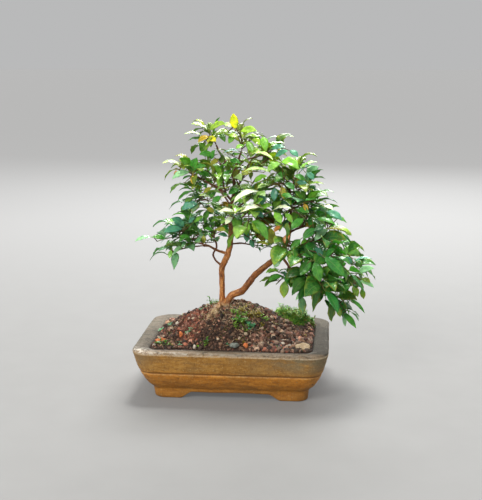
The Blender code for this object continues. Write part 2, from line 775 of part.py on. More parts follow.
def crosses_itself(points, faces):
    tree = BVHTree.FromPolygons(points, faces)
    return any(a < b and not set(faces[a]) & set(faces[b]) for a, b in tree.overlap(tree))


def outward(at):
    """Away from the tree's middle line, level."""
    away = Vector((at.x - 20.0, at.y, 0.0))
    return away.normalized() if away.length > 1.0 else Vector((0.0, -1.0, 0.0))


def hanging_share(at):
    """How far leaves here hang and face outwards: the low right-hand mass most, the crown least."""
    return 0.12 + 0.88 * smooth_step(48.0, 88.0, at.x) * smooth_step(248.0, 200.0, at.z)


def propose_leaf(root, along, side, size, rng, attempt, habit):
    """A leaf that leans forward along its twig, arches over, and turns its face up or out to the light."""
    hanging = hanging_share(root)
    spread = math.radians(rng.uniform(46, 74))
    start = along * math.cos(spread) + side * math.sin(spread) + Vector((0, 0, rng.uniform(0.0, 0.35)))
    start.normalize()
    droop = rng.uniform(0.25, 0.85) + hanging * rng.uniform(0.2, 0.7)
    drift = outward(root) * rng.uniform(0.0, 0.5)
    finish = (start + drift - Vector((0, 0, droop))).normalized()
    jitter = Vector((rng.uniform(-0.4, 0.4), rng.uniform(-0.4, 0.4), 0))
    tilt = rng.uniform(0.05, 0.75) * (1.0 - hanging) + rng.uniform(0.5, 1.1) * hanging
    face_up = Vector((0, 0, 0.85 - 0.25 * hanging)) + outward(root) * tilt + jitter
    length = habit.leaf * size * rng.uniform(0.78, 1.14) * (1.0 - 0.02 * attempt)
    width = length * habit.width_share * rng.uniform(0.9, 1.12)
    return Leaf(root, start, finish, face_up, length, width, habit)


def grow_leaf(sprig, quad, shoot, along, side, size, rng, crowd, leaves):
    """Grows a leaf from a side quad of a shoot, where one fits without crossing anything."""
    root = sum((sprig.points[i] for i in quad), Vector()) / 4
    for attempt in range(LEAF_TRIES):
        leaf = propose_leaf(root, along, side, size, rng, attempt, shoot.habit)
        if crowd.meets(*leaf.trial(shoot.habit.clearance)):
            continue
        low = turned_to(quad, sprig.points, leaf.rings()[0])
        points, faces = leaf.alone([sprig.points[i] for i in low], shoot.habit.clearance * 0.5)
        if crowd.meets(points, faces, (shoot.owner,)):
            continue
        state = sprig.state()
        del sprig.quads[quad]
        sprig.blade(low, leaf)
        if crosses_itself(sprig.points, sprig.faces()):
            sprig.go_back(state)
            continue
        crowd.add(points, faces, "leaf")
        leaves.append(leaf)
        return


class Shoot:
    """A curved shoot: its curve, its rings and the places where limbs may grow."""

    def __init__(self, owner, start, direction, end, half, events, habit):
        self.owner = owner
        self.span = (end - start).length
        self.curve = (start, start + direction * (self.span * 0.45), end)
        self.half = half
        self.events = events
        self.habit = habit
        middle = self.direction(0.5)
        bend = direction.cross(end - self.curve[1])
        self.normal = bend.normalized() if bend.length > 1e-3 else middle.orthogonal().normalized()
        side, _ = frame_of(middle, Vector((0, 0, 1)) if abs(middle.z) < 0.9 else outward(start))
        self.turn = (side.dot(self.normal), side.dot(self.normal.cross(middle)))

    def centre(self, t):
        p0, p1, p2 = self.curve
        return p0 * (1 - t) ** 2 + p1 * (2 * t * (1 - t)) + p2 * t * t

    def direction(self, t):
        p0, p1, p2 = self.curve
        return ((p1 - p0) * (1 - t) + (p2 - p1) * t).normalized()

    def frame(self, t):
        """Side and up vectors, level halfway along and carried without twist from there."""
        direction = self.direction(t)
        side = self.normal * self.turn[0] + self.normal.cross(direction) * self.turn[1]
        side.normalize()
        return side, direction.cross(side)

    def corners(self, t, grow=0.0):
        side, up = self.frame(t)
        return square_ring(self.centre(t), side, up, self.half * (1.0 - 0.3 * t) + grow)

    def stations(self):
        """Shares of the length where a ring stands: both edges of each event, and the end."""
        half_width = 1.15 * self.habit.twig / self.span
        edges = [at + sign * half_width for at in self.events for sign in (-1, 1)]
        return edges + [1.0]

    def trial(self, away):
        """The shoot made a little larger, from so many half widths out of its root."""
        first = away * self.habit.twig / self.span
        grow = self.habit.clearance
        stations = [first] + [t for t in self.stations() if t > first]
        rings = [self.corners(t, grow) for t in stations]
        return trial_mesh(rings, self.centre(1.0) + self.direction(1.0) * grow)


def grow_shoot(sprig, low, shoot):
    """Skins a shoot from the ring low; returns the side quads at each event, and its end ring."""
    low = turned_to(low, sprig.points, shoot.corners(0.02))
    sides = []
    for index, t in enumerate(shoot.stations()):
        high = sprig.ring(shoot.corners(t))
        quads = sprig.skin(low, high)
        if index % 2 == 1:
            sides.append(quads)
        low = high
    return sides, low


def pair_events(span, habit, first):
    """Shares of a shoot's length where its leaf pairs stand."""
    count = max(1, round(span * (1 - first) / habit.spacing))
    return [first + (0.94 - first) * (i + 0.5) / count for i in range(count)]


def fork_shoot(sprig, main, quads, fork, end, crowd):
    """A side shoot from the side of the main shoot that looks most towards its end."""
    centre, direction, habit = main.centre(fork), main.direction(fork), main.habit
    side, up = main.frame(fork)
    towards = (end - centre).normalized()
    looks = (up, -side, -up, side)
    pick = max(range(4), key=lambda k: looks[k].dot(towards))
    first = (looks[pick] * 0.75 + direction * 0.5 + towards * 0.4).normalized()
    start = centre + looks[pick] * main.half * (1.0 - 0.3 * fork)
    events = pair_events((end - start).length, habit, 0.24)
    shoot = Shoot((main.owner, fork), start, first, end, main.half * 0.85, events, habit)
    if crowd.meets(*shoot.trial(1.2), (main.owner,)) or crowd.meets(*shoot.trial(3.6)):
        return []
    state = sprig.state()
    del sprig.quads[quads[pick]]
    grown = grow_shoot(sprig, quads[pick], shoot)
    if crosses_itself(sprig.points, sprig.faces()):
        sprig.go_back(state)
        return []
    crowd.add(*shoot.trial(1.2), shoot.owner)
    return [(shoot, *grown)]


def dress_shoot(sprig, shoot, quads, end_ring, size, rng, crowd, leaves):
    """Leaf pairs along a shoot, and one leaf or a plain cap on its end."""
    steep = abs(shoot.direction(0.5).z) > 0.75
    for index, (t, sides) in enumerate(zip(shoot.events, quads)):
        side, up = shoot.frame(t)
        pairs = ((0, up), (2, -up)) if steep and index % 2 else ((3, side), (1, -side))
        growth = size * (1.0 - 0.10 * t)
        for k, outwards in pairs:
            if sides[k] in sprig.quads:
                grow_leaf(sprig, sides[k], shoot, shoot.direction(t), outwards, growth, rng, crowd, leaves)
    sprig.quads[end_ring] = 0
    ahead = shoot.direction(1.0)
    grow_leaf(sprig, end_ring, shoot, ahead, ahead, size * 0.88, rng, crowd, leaves)


def grow_shoots(owner, start, heading, end, side_ends, first, habit, crowd):
    """The bare shoots of one spray, as a skin and the places on it where leaves may grow."""
    sprig = Sprig()
    span = (end - start).length
    forks = [first + FORK_STEP * i for i in range(len(side_ends))]
    apart = 2.6 * habit.twig / span
    pairs = [t for t in pair_events(span, habit, first) if all(abs(t - fork) > apart for fork in forks)]
    main = Shoot(owner, start, heading, end, habit.twig, sorted(forks + pairs), habit)
    crowd.add(*main.trial(1.2), owner)
    foot = sprig.ring(main.corners(0.0))
    sprig.close_foot(foot)
    side_quads, end_ring = grow_shoot(sprig, foot, main)
    grown = [(main, side_quads, end_ring)]
    for fork, side_end in zip(forks, side_ends):
        grown += fork_shoot(sprig, main, side_quads[main.events.index(fork)], fork, side_end, crowd)
    return sprig, grown


def dress_sprays(bare, sizes, seed, crowd):
    """Leaves for every spray in turn; returns each one's skin and its leaves."""
    dressed = {}
    for index, (name, (sprig, grown)) in enumerate(bare.items()):
        leaves = []
        rng = random.Random(seed + index)
        for shoot, quads, ring in grown:
            dress_shoot(sprig, shoot, quads, ring, sizes[name], rng, crowd, leaves)
        dressed[name] = (sprig, leaves)
    return dressed


def standing_crowd():
    """The wood and the soil, which no leaf may cross."""
    crowd = Crowd()
    for path in [TRUNK, SECOND_LEADER] + list(BRANCHES.values()):
        points, faces = tube(path, BRANCH_SIDES, grow=0.55)
        crowd.add([Vector(p) for p in points], faces, "wood")
    points, faces = loft(soil_rings(lift=0.8), in_triangles=True)
    crowd.add([Vector(p) for p in points], faces, "soil")
    return crowd


def grow_canopy(crowd):
    """All sprays: first their shoots, then their leaves, each clear of what stands already."""
    tips = dict(BRANCHES, crown_left=TRUNK, leader_top=SECOND_LEADER)
    bare = {}
    for name, (end, side_ends, _) in SPRAYS.items():
        before, last = (Vector(point[:3]) for point in tips[name][-2:])
        heading = (last - before).normalized()
        start = last + heading * FIT_GAP
        ends = (Vector(end), [Vector(e) for e in side_ends])
        bare[name] = grow_shoots(name, start, heading, *ends, FIRST_PAIR, TREE_HABIT, crowd)
    return dress_sprays(bare, {name: spray[2] for name, spray in SPRAYS.items()}, 1000, crowd)


def weed_foot(name):
    x, y = WEEDS[name][0]
    return Vector((x, y, soil_height(x, y)))


def grow_weeds(crowd):
    bare = {}
    for name, (_, end, side_ends) in WEEDS.items():
        foot = weed_foot(name)
        start = foot - Vector((0, 0, WEED_DEPTH))
        ends = (foot + Vector(end), [foot + Vector(e) for e in side_ends])
        first = (WEED_DEPTH + 1.2) / (ends[0] - start).length
        bare[name] = grow_shoots(name, start, Vector((0, 0, 1)), *ends, first, WEED_HABIT, crowd)
    return dress_sprays(bare, {name: 1.0 for name in WEEDS}, 2000, crowd)


def make_foliage():
    crowd = standing_crowd()
    made = []
    for name, (sprig, leaves) in grow_canopy(crowd).items():
        made.append(add_object("spray_" + name, sprig.points, sprig.faces(), "leaf", smooth=False))
    for name, (sprig, leaves) in grow_weeds(crowd).items():
        made.append(add_object(name, sprig.points, sprig.faces(), "weed", smooth=False))
    return made


# Moss and loose stones


def make_moss():
    """A low cushion with small tufts, cut underneath to the lie of the soil."""
    rng = random.Random(31)
    around = 20
    rings = []
    for share, lift in ((1.0, -5.0), (1.0, 1.5), (0.86, 4.4), (0.62, 6.2), (0.34, MOSS_THICKNESS)):
        ring = []
        for i in range(around):
            turn = 2 * math.pi * i / around
            wobble = 1.0 + 0.10 * math.sin(3 * turn + 1.0) + 0.06 * math.sin(5 * turn)
            x = MOSS_CENTRE[0] + MOSS_HALF_SIZES[0] * share * wobble * math.cos(turn)
            y = MOSS_CENTRE[1] + MOSS_HALF_SIZES[1] * share * wobble * math.sin(turn)
            tuft = rng.uniform(-0.3, 1.4) if lift > 2 else 0.0
            ring.append((x, y, soil_height(x, y) + lift + tuft))
        rings.append(ring)
    points, faces = loft(rings, in_triangles=True)
    moss = add_object("moss_patch", points, faces, "moss", smooth=False)
    points, faces = loft(soil_rings(lift=FIT_GAP), in_triangles=True)
    lie = as_helper(add_object("lie_of_soil", points, faces, "planting_mix", smooth=False))
    apply_boolean(moss, [lie], "DIFFERENCE")
    drop_scraps(moss)
    return moss


def stone_hull(name, swell):
    """An angular stone: the hull of points scattered on a squashed ball, seated in the soil."""
    (x, y), halves, turn, _ = STONES[name]
    rng = random.Random(name)
    mesh = bmesh.new()
    centre = Vector((x, y, soil_height(x, y) + halves[2] * STONE_RISE))
    for _ in range(STONE_POINTS):
        ball = Vector((rng.gauss(0, 1), rng.gauss(0, 1), rng.gauss(0, 1))).normalized()
        away = Vector([ball[i] * (halves[i] + swell) for i in range(3)])
        away.rotate(Euler((0.0, 0.0, turn)))
        mesh.verts.new(centre + away)
    hull = bmesh.ops.convex_hull(mesh, input=mesh.verts)
    inside = [v for v in hull["geom_interior"] if isinstance(v, bmesh.types.BMVert)]
    bmesh.ops.delete(mesh, geom=inside, context="VERTS")
    mesh.verts.index_update()
    points = [tuple(v.co) for v in mesh.verts]
    faces = [tuple(v.index for v in face.verts) for face in mesh.faces]
    mesh.free()
    return points, faces


def make_stones():
    return [add_object(name, *stone_hull(name, 0.0), STONES[name][3], smooth=False) for name in STONES]


def stone_pockets():
    made = []
    for name in STONES:
        points, faces = stone_hull(name, 2 * FIT_GAP)
        made.append(as_helper(add_object("stone_pocket", points, faces, "planting_mix", smooth=False)))
    return made


def weed_holes():
    made = []
    for name in WEEDS:
        foot = weed_foot(name)
        half = WEED_HABIT.twig + 2 * FIT_GAP
        points, faces = box_points(foot, (half, half, WEED_DEPTH + FIT_GAP))
        made.append(as_helper(add_object("weed_hole", points, faces, "planting_mix", smooth=False)))
    return made


def centre_on_origin(pieces):
    """Hangs every piece on one empty, moved so that the object's box stands centred on the origin."""
    bpy.context.view_layer.update()
    corners = [piece.matrix_world @ Vector(corner) for piece in pieces for corner in piece.bound_box]
    low = [min(corner[i] for corner in corners) for i in range(3)]
    high = [max(corner[i] for corner in corners) for i in range(3)]
    anchor = bpy.data.objects.new("bonsai", None)
    bpy.context.scene.collection.objects.link(anchor)
    for piece in pieces:
        piece.parent = anchor
    anchor.location = (-(low[0] + high[0]) / 2, -(low[1] + high[1]) / 2, -low[2])


def build():
    clear_scene()
    pieces = [
        make_pot(),
        make_drain_screen("drain_screen_left", -DRAIN_X),
        make_drain_screen("drain_screen_right", DRAIN_X),
        make_trunk(),
        make_soil(root_pockets() + stone_pockets() + weed_holes() + screen_pockets()),
        make_moss(),
    ]
    centre_on_origin(pieces + make_stones() + make_foliage())


build()
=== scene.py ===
"""The looks of a jaboticaba bonsai in its oblong glazed pot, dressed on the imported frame.

The tables and the growth rules are those of the part, so a grown leaf stands where its solid stands.
The leaves that show most in the photograph are posed by a table of their own.
Lengths are in millimetres in the pot's own frame: X along the pot, Y away from the front, Z up,
with the pot's centre over the origin and its feet at Z = 0. Meshes are made in metres, and each
piece stands at the pot's place in the frame.
"""

import math
import random
from dataclasses import dataclass

import bmesh
import bpy
import numpy as np
from mathutils import Matrix, Vector, kdtree, noise
from mathutils.bvhtree import BVHTree


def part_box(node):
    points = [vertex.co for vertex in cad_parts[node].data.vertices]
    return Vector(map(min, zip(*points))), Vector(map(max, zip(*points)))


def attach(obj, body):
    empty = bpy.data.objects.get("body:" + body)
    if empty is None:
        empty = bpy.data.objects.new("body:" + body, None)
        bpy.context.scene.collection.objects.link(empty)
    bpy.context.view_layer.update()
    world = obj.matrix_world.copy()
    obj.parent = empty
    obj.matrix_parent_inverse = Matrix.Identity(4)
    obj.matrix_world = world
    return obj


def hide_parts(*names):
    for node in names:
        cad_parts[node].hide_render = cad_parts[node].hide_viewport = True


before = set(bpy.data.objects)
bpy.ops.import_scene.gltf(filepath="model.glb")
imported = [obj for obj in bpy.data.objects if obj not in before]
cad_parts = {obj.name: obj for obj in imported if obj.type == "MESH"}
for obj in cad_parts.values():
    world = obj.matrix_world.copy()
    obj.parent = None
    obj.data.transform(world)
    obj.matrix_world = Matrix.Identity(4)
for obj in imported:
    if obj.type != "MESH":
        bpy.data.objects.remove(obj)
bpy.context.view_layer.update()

MM = 0.001
# Driving dimensions of the pot
POT_LENGTH = 240.0
POT_DEPTH = 185.0
POT_HEIGHT = 65.0
POT_CORNER = 24.0
CORNER_TIGHTENING = 0.42
FOOT_HEIGHT = 13.0
FLOOR_UNDERSIDE = 10.0
FLOOR_TOP = 18.0
ARCH_HEIGHT = 8.4
FRONT_ARCH_HALF = 63.0
SIDE_ARCH_HALF = 38.0
ARCH_SLOPE = 17.0
DRAIN_RADIUS = 8.0
DRAIN_X = 52.0
# Outline of the pot as (height, inset from the rim's outer edge), from under the floor, round the
# foot, up the outside, over the rim and down the inside to the floor
POT_OUTSIDE = (
    (FLOOR_UNDERSIDE, 38.0),
    (1.0, 37.2),
    (0.0, 36.4),
    (0.0, 25.8),
    (0.9, 24.8),
    (FOOT_HEIGHT, 23.4),
    (15.0, 21.4),
    (18.0, 18.4),
    (22.5, 14.8),
    (28.5, 11.2),
    (35.2, 7.8),
    (35.8, 9.0),
    (37.0, 9.0),
    (37.8, 6.9),
    (44.0, 4.8),
    (50.5, 3.0),
    (57.0, 1.5),
    (59.6, 0.6),
    (61.8, 0.0),
    (64.0, 0.8),
    (POT_HEIGHT, 2.6),
    (64.8, 14.0),
)
POT_INSIDE = (
    (63.6, 18.4),
    (60.5, 20.2),
    (40.0, 20.8),
    (25.0, 26.0),
    (FLOOR_TOP, 34.0),
)
# Driving dimensions of the planting
FIT_GAP = 0.35
SOIL_EDGE = 64.0
MOUND_RISE = 40.5
MOUND_CENTRE_X = 2.0
MOUND_CENTRE_Y = 7.0
MOUND_REACH_LEFT = 100.0
MOUND_REACH_RIGHT = 92.0
MOUND_REACH_Y = 76.0
MOSS_CENTRE = (72.0, 40.0)
MOSS_HALF_SIZES = (25.0, 20.0)
BRANCH_SIDES = 5
WEED_DEPTH = 4.0


@dataclass
class Habit:
    """How a plant's shoots are built: its leaf pairs, its leaves and its twigs."""

    spacing: float
    leaf: float
    width_share: float
    half_thick: float
    petiole: float
    twig: float
    clearance: float


TREE_HABIT = Habit(spacing=11.8, leaf=28.0, width_share=0.49, half_thick=0.5,
                   petiole=2.6, twig=0.75, clearance=0.35)
WEED_HABIT = Habit(spacing=4.6, leaf=5.8, width_share=0.66, half_thick=0.36,
                   petiole=1.0, twig=0.5, clearance=0.2)
FIRST_PAIR = 0.16
FORK_STEP = 0.26
LEAF_TRIES = 24
LEAF_FOLD = 0.30
LEAF_STATIONS = ((0.32, 0.97), (0.70, 0.82))
MIDRIB_STEPS = 8
# The two stems, as points of (x, y, z, radius)
TRUNK = (
    (-16.0, 1.0, 84.0, 5.0),
    (-16.5, 0.5, 97.0, 4.8),
    (-16.8, 0.0, 104.0, 4.2),
    (-17.0, 0.0, 115.0, 3.7),
    (-17.0, 0.0, 135.0, 3.6),
    (-17.4, 0.0, 150.0, 3.8),
    (-13.4, 0.0, 160.0, 4.0),
    (-9.0, 0.0, 171.0, 3.8),
    (-6.3, 1.0, 184.0, 3.6),
    (-5.2, 1.0, 209.0, 3.3),
    (-4.0, 0.0, 231.0, 2.8),
    (-1.0, -1.0, 256.0, 2.2),
    (-4.0, 0.0, 270.0, 1.9),
    (-12.0, 0.0, 285.0, 1.6),
    (-21.0, 1.0, 300.0, 1.3),
    (-24.0, 2.0, 307.0, 1.1),
)
SECOND_LEADER = (
    (-14.0, -1.0, 100.0, 3.4),
    (-9.5, -2.5, 109.0, 4.2),
    (-4.5, -3.0, 116.5, 4.5),
    (2.0, -3.0, 119.5, 4.6),
    (9.5, -4.0, 123.0, 4.5),
    (17.0, -5.0, 132.5, 4.2),
    (25.5, -6.0, 144.0, 4.0),
    (34.0, -8.0, 152.0, 3.9),
    (45.0, -10.0, 161.5, 3.7),
    (57.0, -11.5, 171.5, 3.5),
    (65.0, -11.0, 188.0, 2.9),
    (69.0, -10.0, 204.0, 2.3),
    (70.0, -8.0, 227.0, 1.8),
    (69.0, -4.0, 246.0, 1.5),
    (67.0, 0.0, 258.0, 1.2),
)
ROOTS = (
    (
        (-17, 0, 103.5, 3.8), (-20, -7.5, 102, 4.3), (-24, -15, 99.5, 4.0),
        (-27, -21, 96, 4.2), (-29.5, -26, 91.5, 3.7), (-30.5, -29, 84, 2.6),
    ),
    ((-16, 1, 101, 3.0), (-26, 7, 101.5, 2.4), (-37, 14, 96, 1.8), (-45, 19, 88, 1.4)),
    ((-12, -2, 104, 2.6), (-8, -9, 100.5, 2.4), (-3, -17, 96, 2.0), (3, -24, 89, 1.4)),
    ((-15, 1, 101, 3.0), (-8, 12, 102, 2.2), (0, 22, 95, 1.6)),
    ((-7.5, -3, 113, 1.9), (-8, -5.5, 106, 1.7), (-8, -8, 100, 1.6), (-8, -10, 92, 1.3)),
)
# Branches: the wood as points of (x, y, z, radius), out to the tip where a leafy spray goes on
BRANCHES = {
    "crown_middle": ((-4, 0, 268, 1.7), (3, 1, 286, 1.6), (7, 1, 298, 1.2)),
    "crown_right": ((3, 1, 286, 1.3), (17, 0, 290, 1.2), (28, 0, 293, 1.0)),
    "upper_left": ((-4, 0, 237, 1.7), (-17, -8, 252, 1.6), (-32, -12, 261, 1.3), (-45, -16, 269, 1.0)),
    "upper_left_rise": ((-17, -8, 252, 1.1), (-24, -3, 265, 1.0), (-31, 0, 271, 0.9)),
    "upper_front": ((-8, -3, 242, 1.1), (-12, -13, 254, 1.0), (-13, -18, 263, 0.9)),
    "upper_left_drop": ((-27, -10.5, 258, 1.1), (-32, -13, 251, 1.0), (-37, -15, 246, 0.9)),
    "centre_right": ((-4, 0, 222, 1.4), (9, -5, 234, 1.3), (23, -8, 244, 1.0)),
    "front": ((-5, 1, 207, 1.5), (-2, -15, 213, 1.4), (5, -29, 217, 1.0)),
    "back_upper": ((-3, 0, 245, 1.5), (4, 19, 258, 1.3), (9, 35, 267, 1.0)),
    "back_left": ((-4, 0, 229, 1.5), (-15, 19, 239, 1.3), (-25, 35, 247, 1.0)),
    "back_low": ((-5, 1, 203, 1.4), (-10, 21, 204, 1.3), (-15, 37, 208, 1.0)),
    "middle_left": (
        (-11, 0, 170, 1.8), (-23, -5, 175, 1.7), (-32, -10, 181, 1.5),
        (-40, -13, 184, 1.3), (-49, -16, 189, 1.0),
    ),
    "middle_left_low": ((-32, -10, 181, 1.2), (-42, -18, 182.5, 1.1), (-53, -24, 182, 1.0)),
    "lower_left": (
        (-17, 0, 153, 1.6), (-26, 3, 161, 1.4), (-29, 6, 168, 1.3), (-25, 9, 176, 1.3),
        (-28, 13, 187, 1.2), (-36, 17, 192, 1.1), (-47, 21, 196, 1.0),
    ),
    "lower_left_back": ((-28, 13, 187, 1.1), (-30, 24, 193, 0.9)),
    "low_centre": ((-6, 1, 182, 1.3), (6, 8, 182, 1.2), (17, 16, 179, 1.1), (24, 22, 177, 0.9)),
    "hanging": (
        (58, -12, 172, 1.9), (64, -14, 164, 1.7), (70, -18, 157, 1.6), (77, -22, 152, 1.5),
        (90, -25, 149, 1.4), (107, -27, 143, 1.2), (117, -28, 140, 1.0),
    ),
    "hanging_near": ((68, -17, 159, 1.0), (66, -24, 153, 0.9), (63, -29, 149, 0.8)),
    "hanging_thread": ((77, -22, 152, 1.0), (81, -26, 144, 0.9), (84, -29, 137, 0.8)),
    "hanging_fall": ((104, -26.5, 144, 1.1), (112, -25, 136, 1.0), (120, -24, 128, 0.8)),
    "hanging_front": ((88, -25, 149.5, 1.2), (93, -35, 152, 1.0), (99, -44, 152, 0.9)),
    "right_arm": ((63, -11, 184, 1.8), (80, -6, 181, 1.6), (100, -4, 178, 1.4), (118, -4, 174, 1.0)),
    "right_arm_back": ((98, -4, 178, 1.2), (104, 14, 173, 1.1), (109, 30, 168, 0.9)),
    "right_arm_front": ((96, -4.5, 179, 1.2), (107, -14, 179, 1.0), (116, -24, 177, 0.9)),
    "right_front": ((78, -6.5, 181, 1.3), (88, -19, 188, 1.1), (96, -29, 193, 0.9)),
    "right_upper": ((68, -10, 200, 1.6), (84, 0, 206, 1.4), (98, 8, 209, 1.0)),
    "right_high": ((82, -1.5, 205, 1.2), (90, 3, 218, 1.0), (94, 3, 228, 0.9)),
    "front_right": ((66, -11, 192, 1.4), (71, -26, 189, 1.2), (76, -38, 185, 0.9)),
    "back_right": ((69, -9, 213, 1.5), (78, 14, 212, 1.3), (88, 33, 208, 1.0)),
    "inner_left": ((69, -10, 206, 1.1), (60, -15, 209, 0.9)),
    "inner_back": ((69.5, -9, 216, 1.2), (60, 5, 222, 1.0), (50, 15, 227, 0.9)),
    "inner_front": ((70, -8, 230, 1.1), (76, -16, 233, 0.9)),
    "leader_back": ((69, -4, 245, 1.1), (77, 7, 250, 0.9)),
    "leader_front": ((69, -4, 247, 1.1), (67, -14, 253, 0.9)),
}
# Leafy sprays: the main shoot's end, the ends of its side shoots, and the size of its leaves
SPRAYS = {
    "crown_left": ((-38, 4, 326), ((-30, -12, 318), (-44, 14, 305)), 0.84),
    "crown_middle": ((0, -2, 330), ((20, -8, 320), (12, 18, 312)), 0.84),
    "crown_right": ((50, 0, 304), ((42, -18, 292), (36, 20, 297)), 0.88),
    "upper_left": ((-66, -22, 278), ((-58, -34, 264), (-56, -2, 278)), 0.90),
    "upper_left_rise": ((-38, 4, 288), ((-46, 14, 276),), 0.88),
    "upper_front": ((-14, -24, 284), ((-28, -32, 272), (4, -32, 268)), 0.90),
    "upper_left_drop": ((-56, -20, 236), ((-42, -34, 238),), 0.92),
    "centre_right": ((46, -14, 260), ((40, -32, 246), (38, 8, 256)), 1.0),
    "front": ((28, -56, 242), ((-6, -50, 228), (34, -46, 224), (14, -52, 204)), 1.0),
    "back_upper": ((14, 58, 284), ((32, 46, 268), (-8, 52, 272)), 0.95),
    "back_left": ((-42, 54, 260), ((-50, 38, 244), (-18, 58, 244)), 0.95),
    "back_low": ((-20, 64, 214), ((-40, 50, 218), (6, 56, 210)), 1.0),
    "middle_left": ((-96, -22, 188), ((-66, -34, 200), (-78, -2, 200)), 0.95),
    "middle_left_low": ((-80, -36, 174), ((-62, -42, 184),), 0.95),
    "lower_left": ((-82, 28, 198), ((-60, 10, 214), (-66, 40, 206)), 0.95),
    "lower_left_back": ((-42, 42, 202), ((-22, 44, 192),), 0.95),
    "low_centre": ((42, 38, 174), ((36, 16, 187),), 0.85),
    "leader_top": ((78, -2, 282), ((52, -14, 276), (62, 18, 276)), 1.0),
    "leader_back": ((87, 26, 257), ((92, 4, 261),), 1.0),
    "leader_front": ((62, -32, 264), ((48, -22, 266), (84, -28, 258)), 1.05),
    "inner_front": ((92, -30, 242), ((70, -38, 232), (96, -12, 232)), 1.0),
    "inner_left": ((42, -30, 206), ((46, -26, 222),), 0.95),
    "inner_back": ((30, 30, 234), ((52, 36, 232), (34, 14, 222)), 1.0),
    "right_upper": ((127, 18, 197), ((111, 34, 206), (105, -8, 211)), 1.0),
    "right_high": ((92, -2, 250), ((100, -8, 236), (84, 24, 236)), 1.0),
    "right_arm": ((156, 4, 153), ((142, -14, 174), (138, 22, 174)), 1.08),
    "right_arm_back": ((124, 54, 152), ((134, 36, 164), (98, 54, 168)), 1.0),
    "right_arm_front": ((142, -44, 158), ((124, -46, 172),), 1.14),
    "right_front": ((120, -48, 194), ((100, -50, 206), (116, -28, 208)), 1.12),
    "front_right": ((92, -64, 172), ((66, -58, 190), (94, -52, 186)), 1.14),
    "back_right": ((99, 62, 204), ((108, 42, 213), (80, 56, 218)), 1.0),
    "hanging": ((148, -36, 140), ((130, -44, 126), (132, -14, 150)), 1.12),
    "hanging_near": ((54, -38, 140), (), 0.90),
    "hanging_thread": ((86, -32, 126), (), 0.76),
    "hanging_fall": ((140, -26, 104), ((132, -10, 118),), 0.95),
    "hanging_front": ((114, -64, 140), ((92, -62, 150), (122, -46, 152)), 1.14),
}
# Seedlings: where the stem stands, its shoot's end above the soil, and the ends of its side shoots
WEEDS = {
    "weed_left": ((-84, -60), (-2, -2, 7), ((5, 0, 5), (-6, 1, 4))),
    "weed_front": ((-31, -61), (2, -2, 6), ((-6, -1, 4), (6, 2, 4))),
    "weed_centre": ((9, -34), (-2, -3, 9), ((6, -3, 6), (-7, -1, 6))),
    "weed_trunk": ((-31, 3), (-2, -1, 9), ()),
}
# Loose stones: where each lies, its half sizes, how it is turned, and its material
STONES = {
    "beige_stone": ((88, -57), (10.0, 6.4, 6.0), 0.15, "beige_stone"),
    "grey_pebble": ((5, -63), (6.6, 4.4, 3.6), 0.1, "grey_pebble"),
    "brick_chip_left": ((-90, -42), (7.6, 4.8, 4.6), 0.4, "brick"),
    "brick_chip_middle": ((-65, -38), (3.6, 3.2, 4.2), 0.9, "brick"),
    "brick_chip_centre": ((18.5, -61), (3.6, 3.2, 4.8), 0.3, "brick"),
}


# Shapes and growth, as in the part


def smooth_step(low, high, value):
    share = min(max((value - low) / (high - low), 0.0), 1.0)
    return share * share * (3 - 2 * share)


def noise_over(x, y, size, layer):
    """Smooth noise over the plan in patches of about this size, another pattern for each layer."""
    return noise.noise(Vector((x / size, y / size, layer)))


def soil_height(x, y):
    """Height of the soil: a heap under the trunk, steeper on the right, and a low rise under the moss."""
    reach_x = MOUND_REACH_LEFT if x < MOUND_CENTRE_X else MOUND_REACH_RIGHT
    radius = ((x - MOUND_CENTRE_X) / reach_x) ** 2 + ((y - MOUND_CENTRE_Y) / MOUND_REACH_Y) ** 2
    power = 1.1 + 1.2 * smooth_step(-10.0, 35.0, x)
    heap = MOUND_RISE * max(1.0 - radius, 0.0) ** power
    rise = 11.0 * math.exp(-(((x - MOSS_CENTRE[0]) / 30.0) ** 2) - ((y - MOSS_CENTRE[1]) / 24.0) ** 2)
    from_wall = min(POT_LENGTH / 2 - 18.0 - abs(x), POT_DEPTH / 2 - 18.0 - abs(y))
    fade = smooth_step(0.0, 12.0, from_wall)
    coarse, fine = noise_over(x, y, 9.0, 0.0), noise_over(x, y, 4.0, 5.0)
    return SOIL_EDGE + (heap + rise + 1.5 * coarse + 0.9 * fine) * fade


def wall_inset(z):
    """Inset of the pot's inner wall at this height."""
    inner = sorted(POT_INSIDE)
    for (z0, inset0), (z1, inset1) in zip(inner, inner[1:]):
        if z <= z1:
            return inset0 + (inset1 - inset0) * (z - z0) / (z1 - z0)
    return inner[-1][1]


def soil_rings(lift):
    """Rings from the flat bottom up along the wall and in over the top."""
    rings = []
    for z in (FLOOR_TOP + FIT_GAP, 25.0, 40.0, 60.5, SOIL_EDGE - 0.8):
        raised = z + lift if z > 60.5 else z
        inset = wall_inset(z) + 2 * FIT_GAP
        rings.append(rounded_rectangle(inset, raised, corner_steps=2, along_x=6, along_y=4))
    for share in (0.94, 0.85, 0.74, 0.62, 0.50, 0.38, 0.26, 0.14):
        ring = []
        for x, y, _ in rings[4]:
            x, y = MOUND_CENTRE_X + (x - MOUND_CENTRE_X) * share, y * share
            ring.append((x, y, soil_height(x, y) + lift))
        rings.append(ring)
    return rings


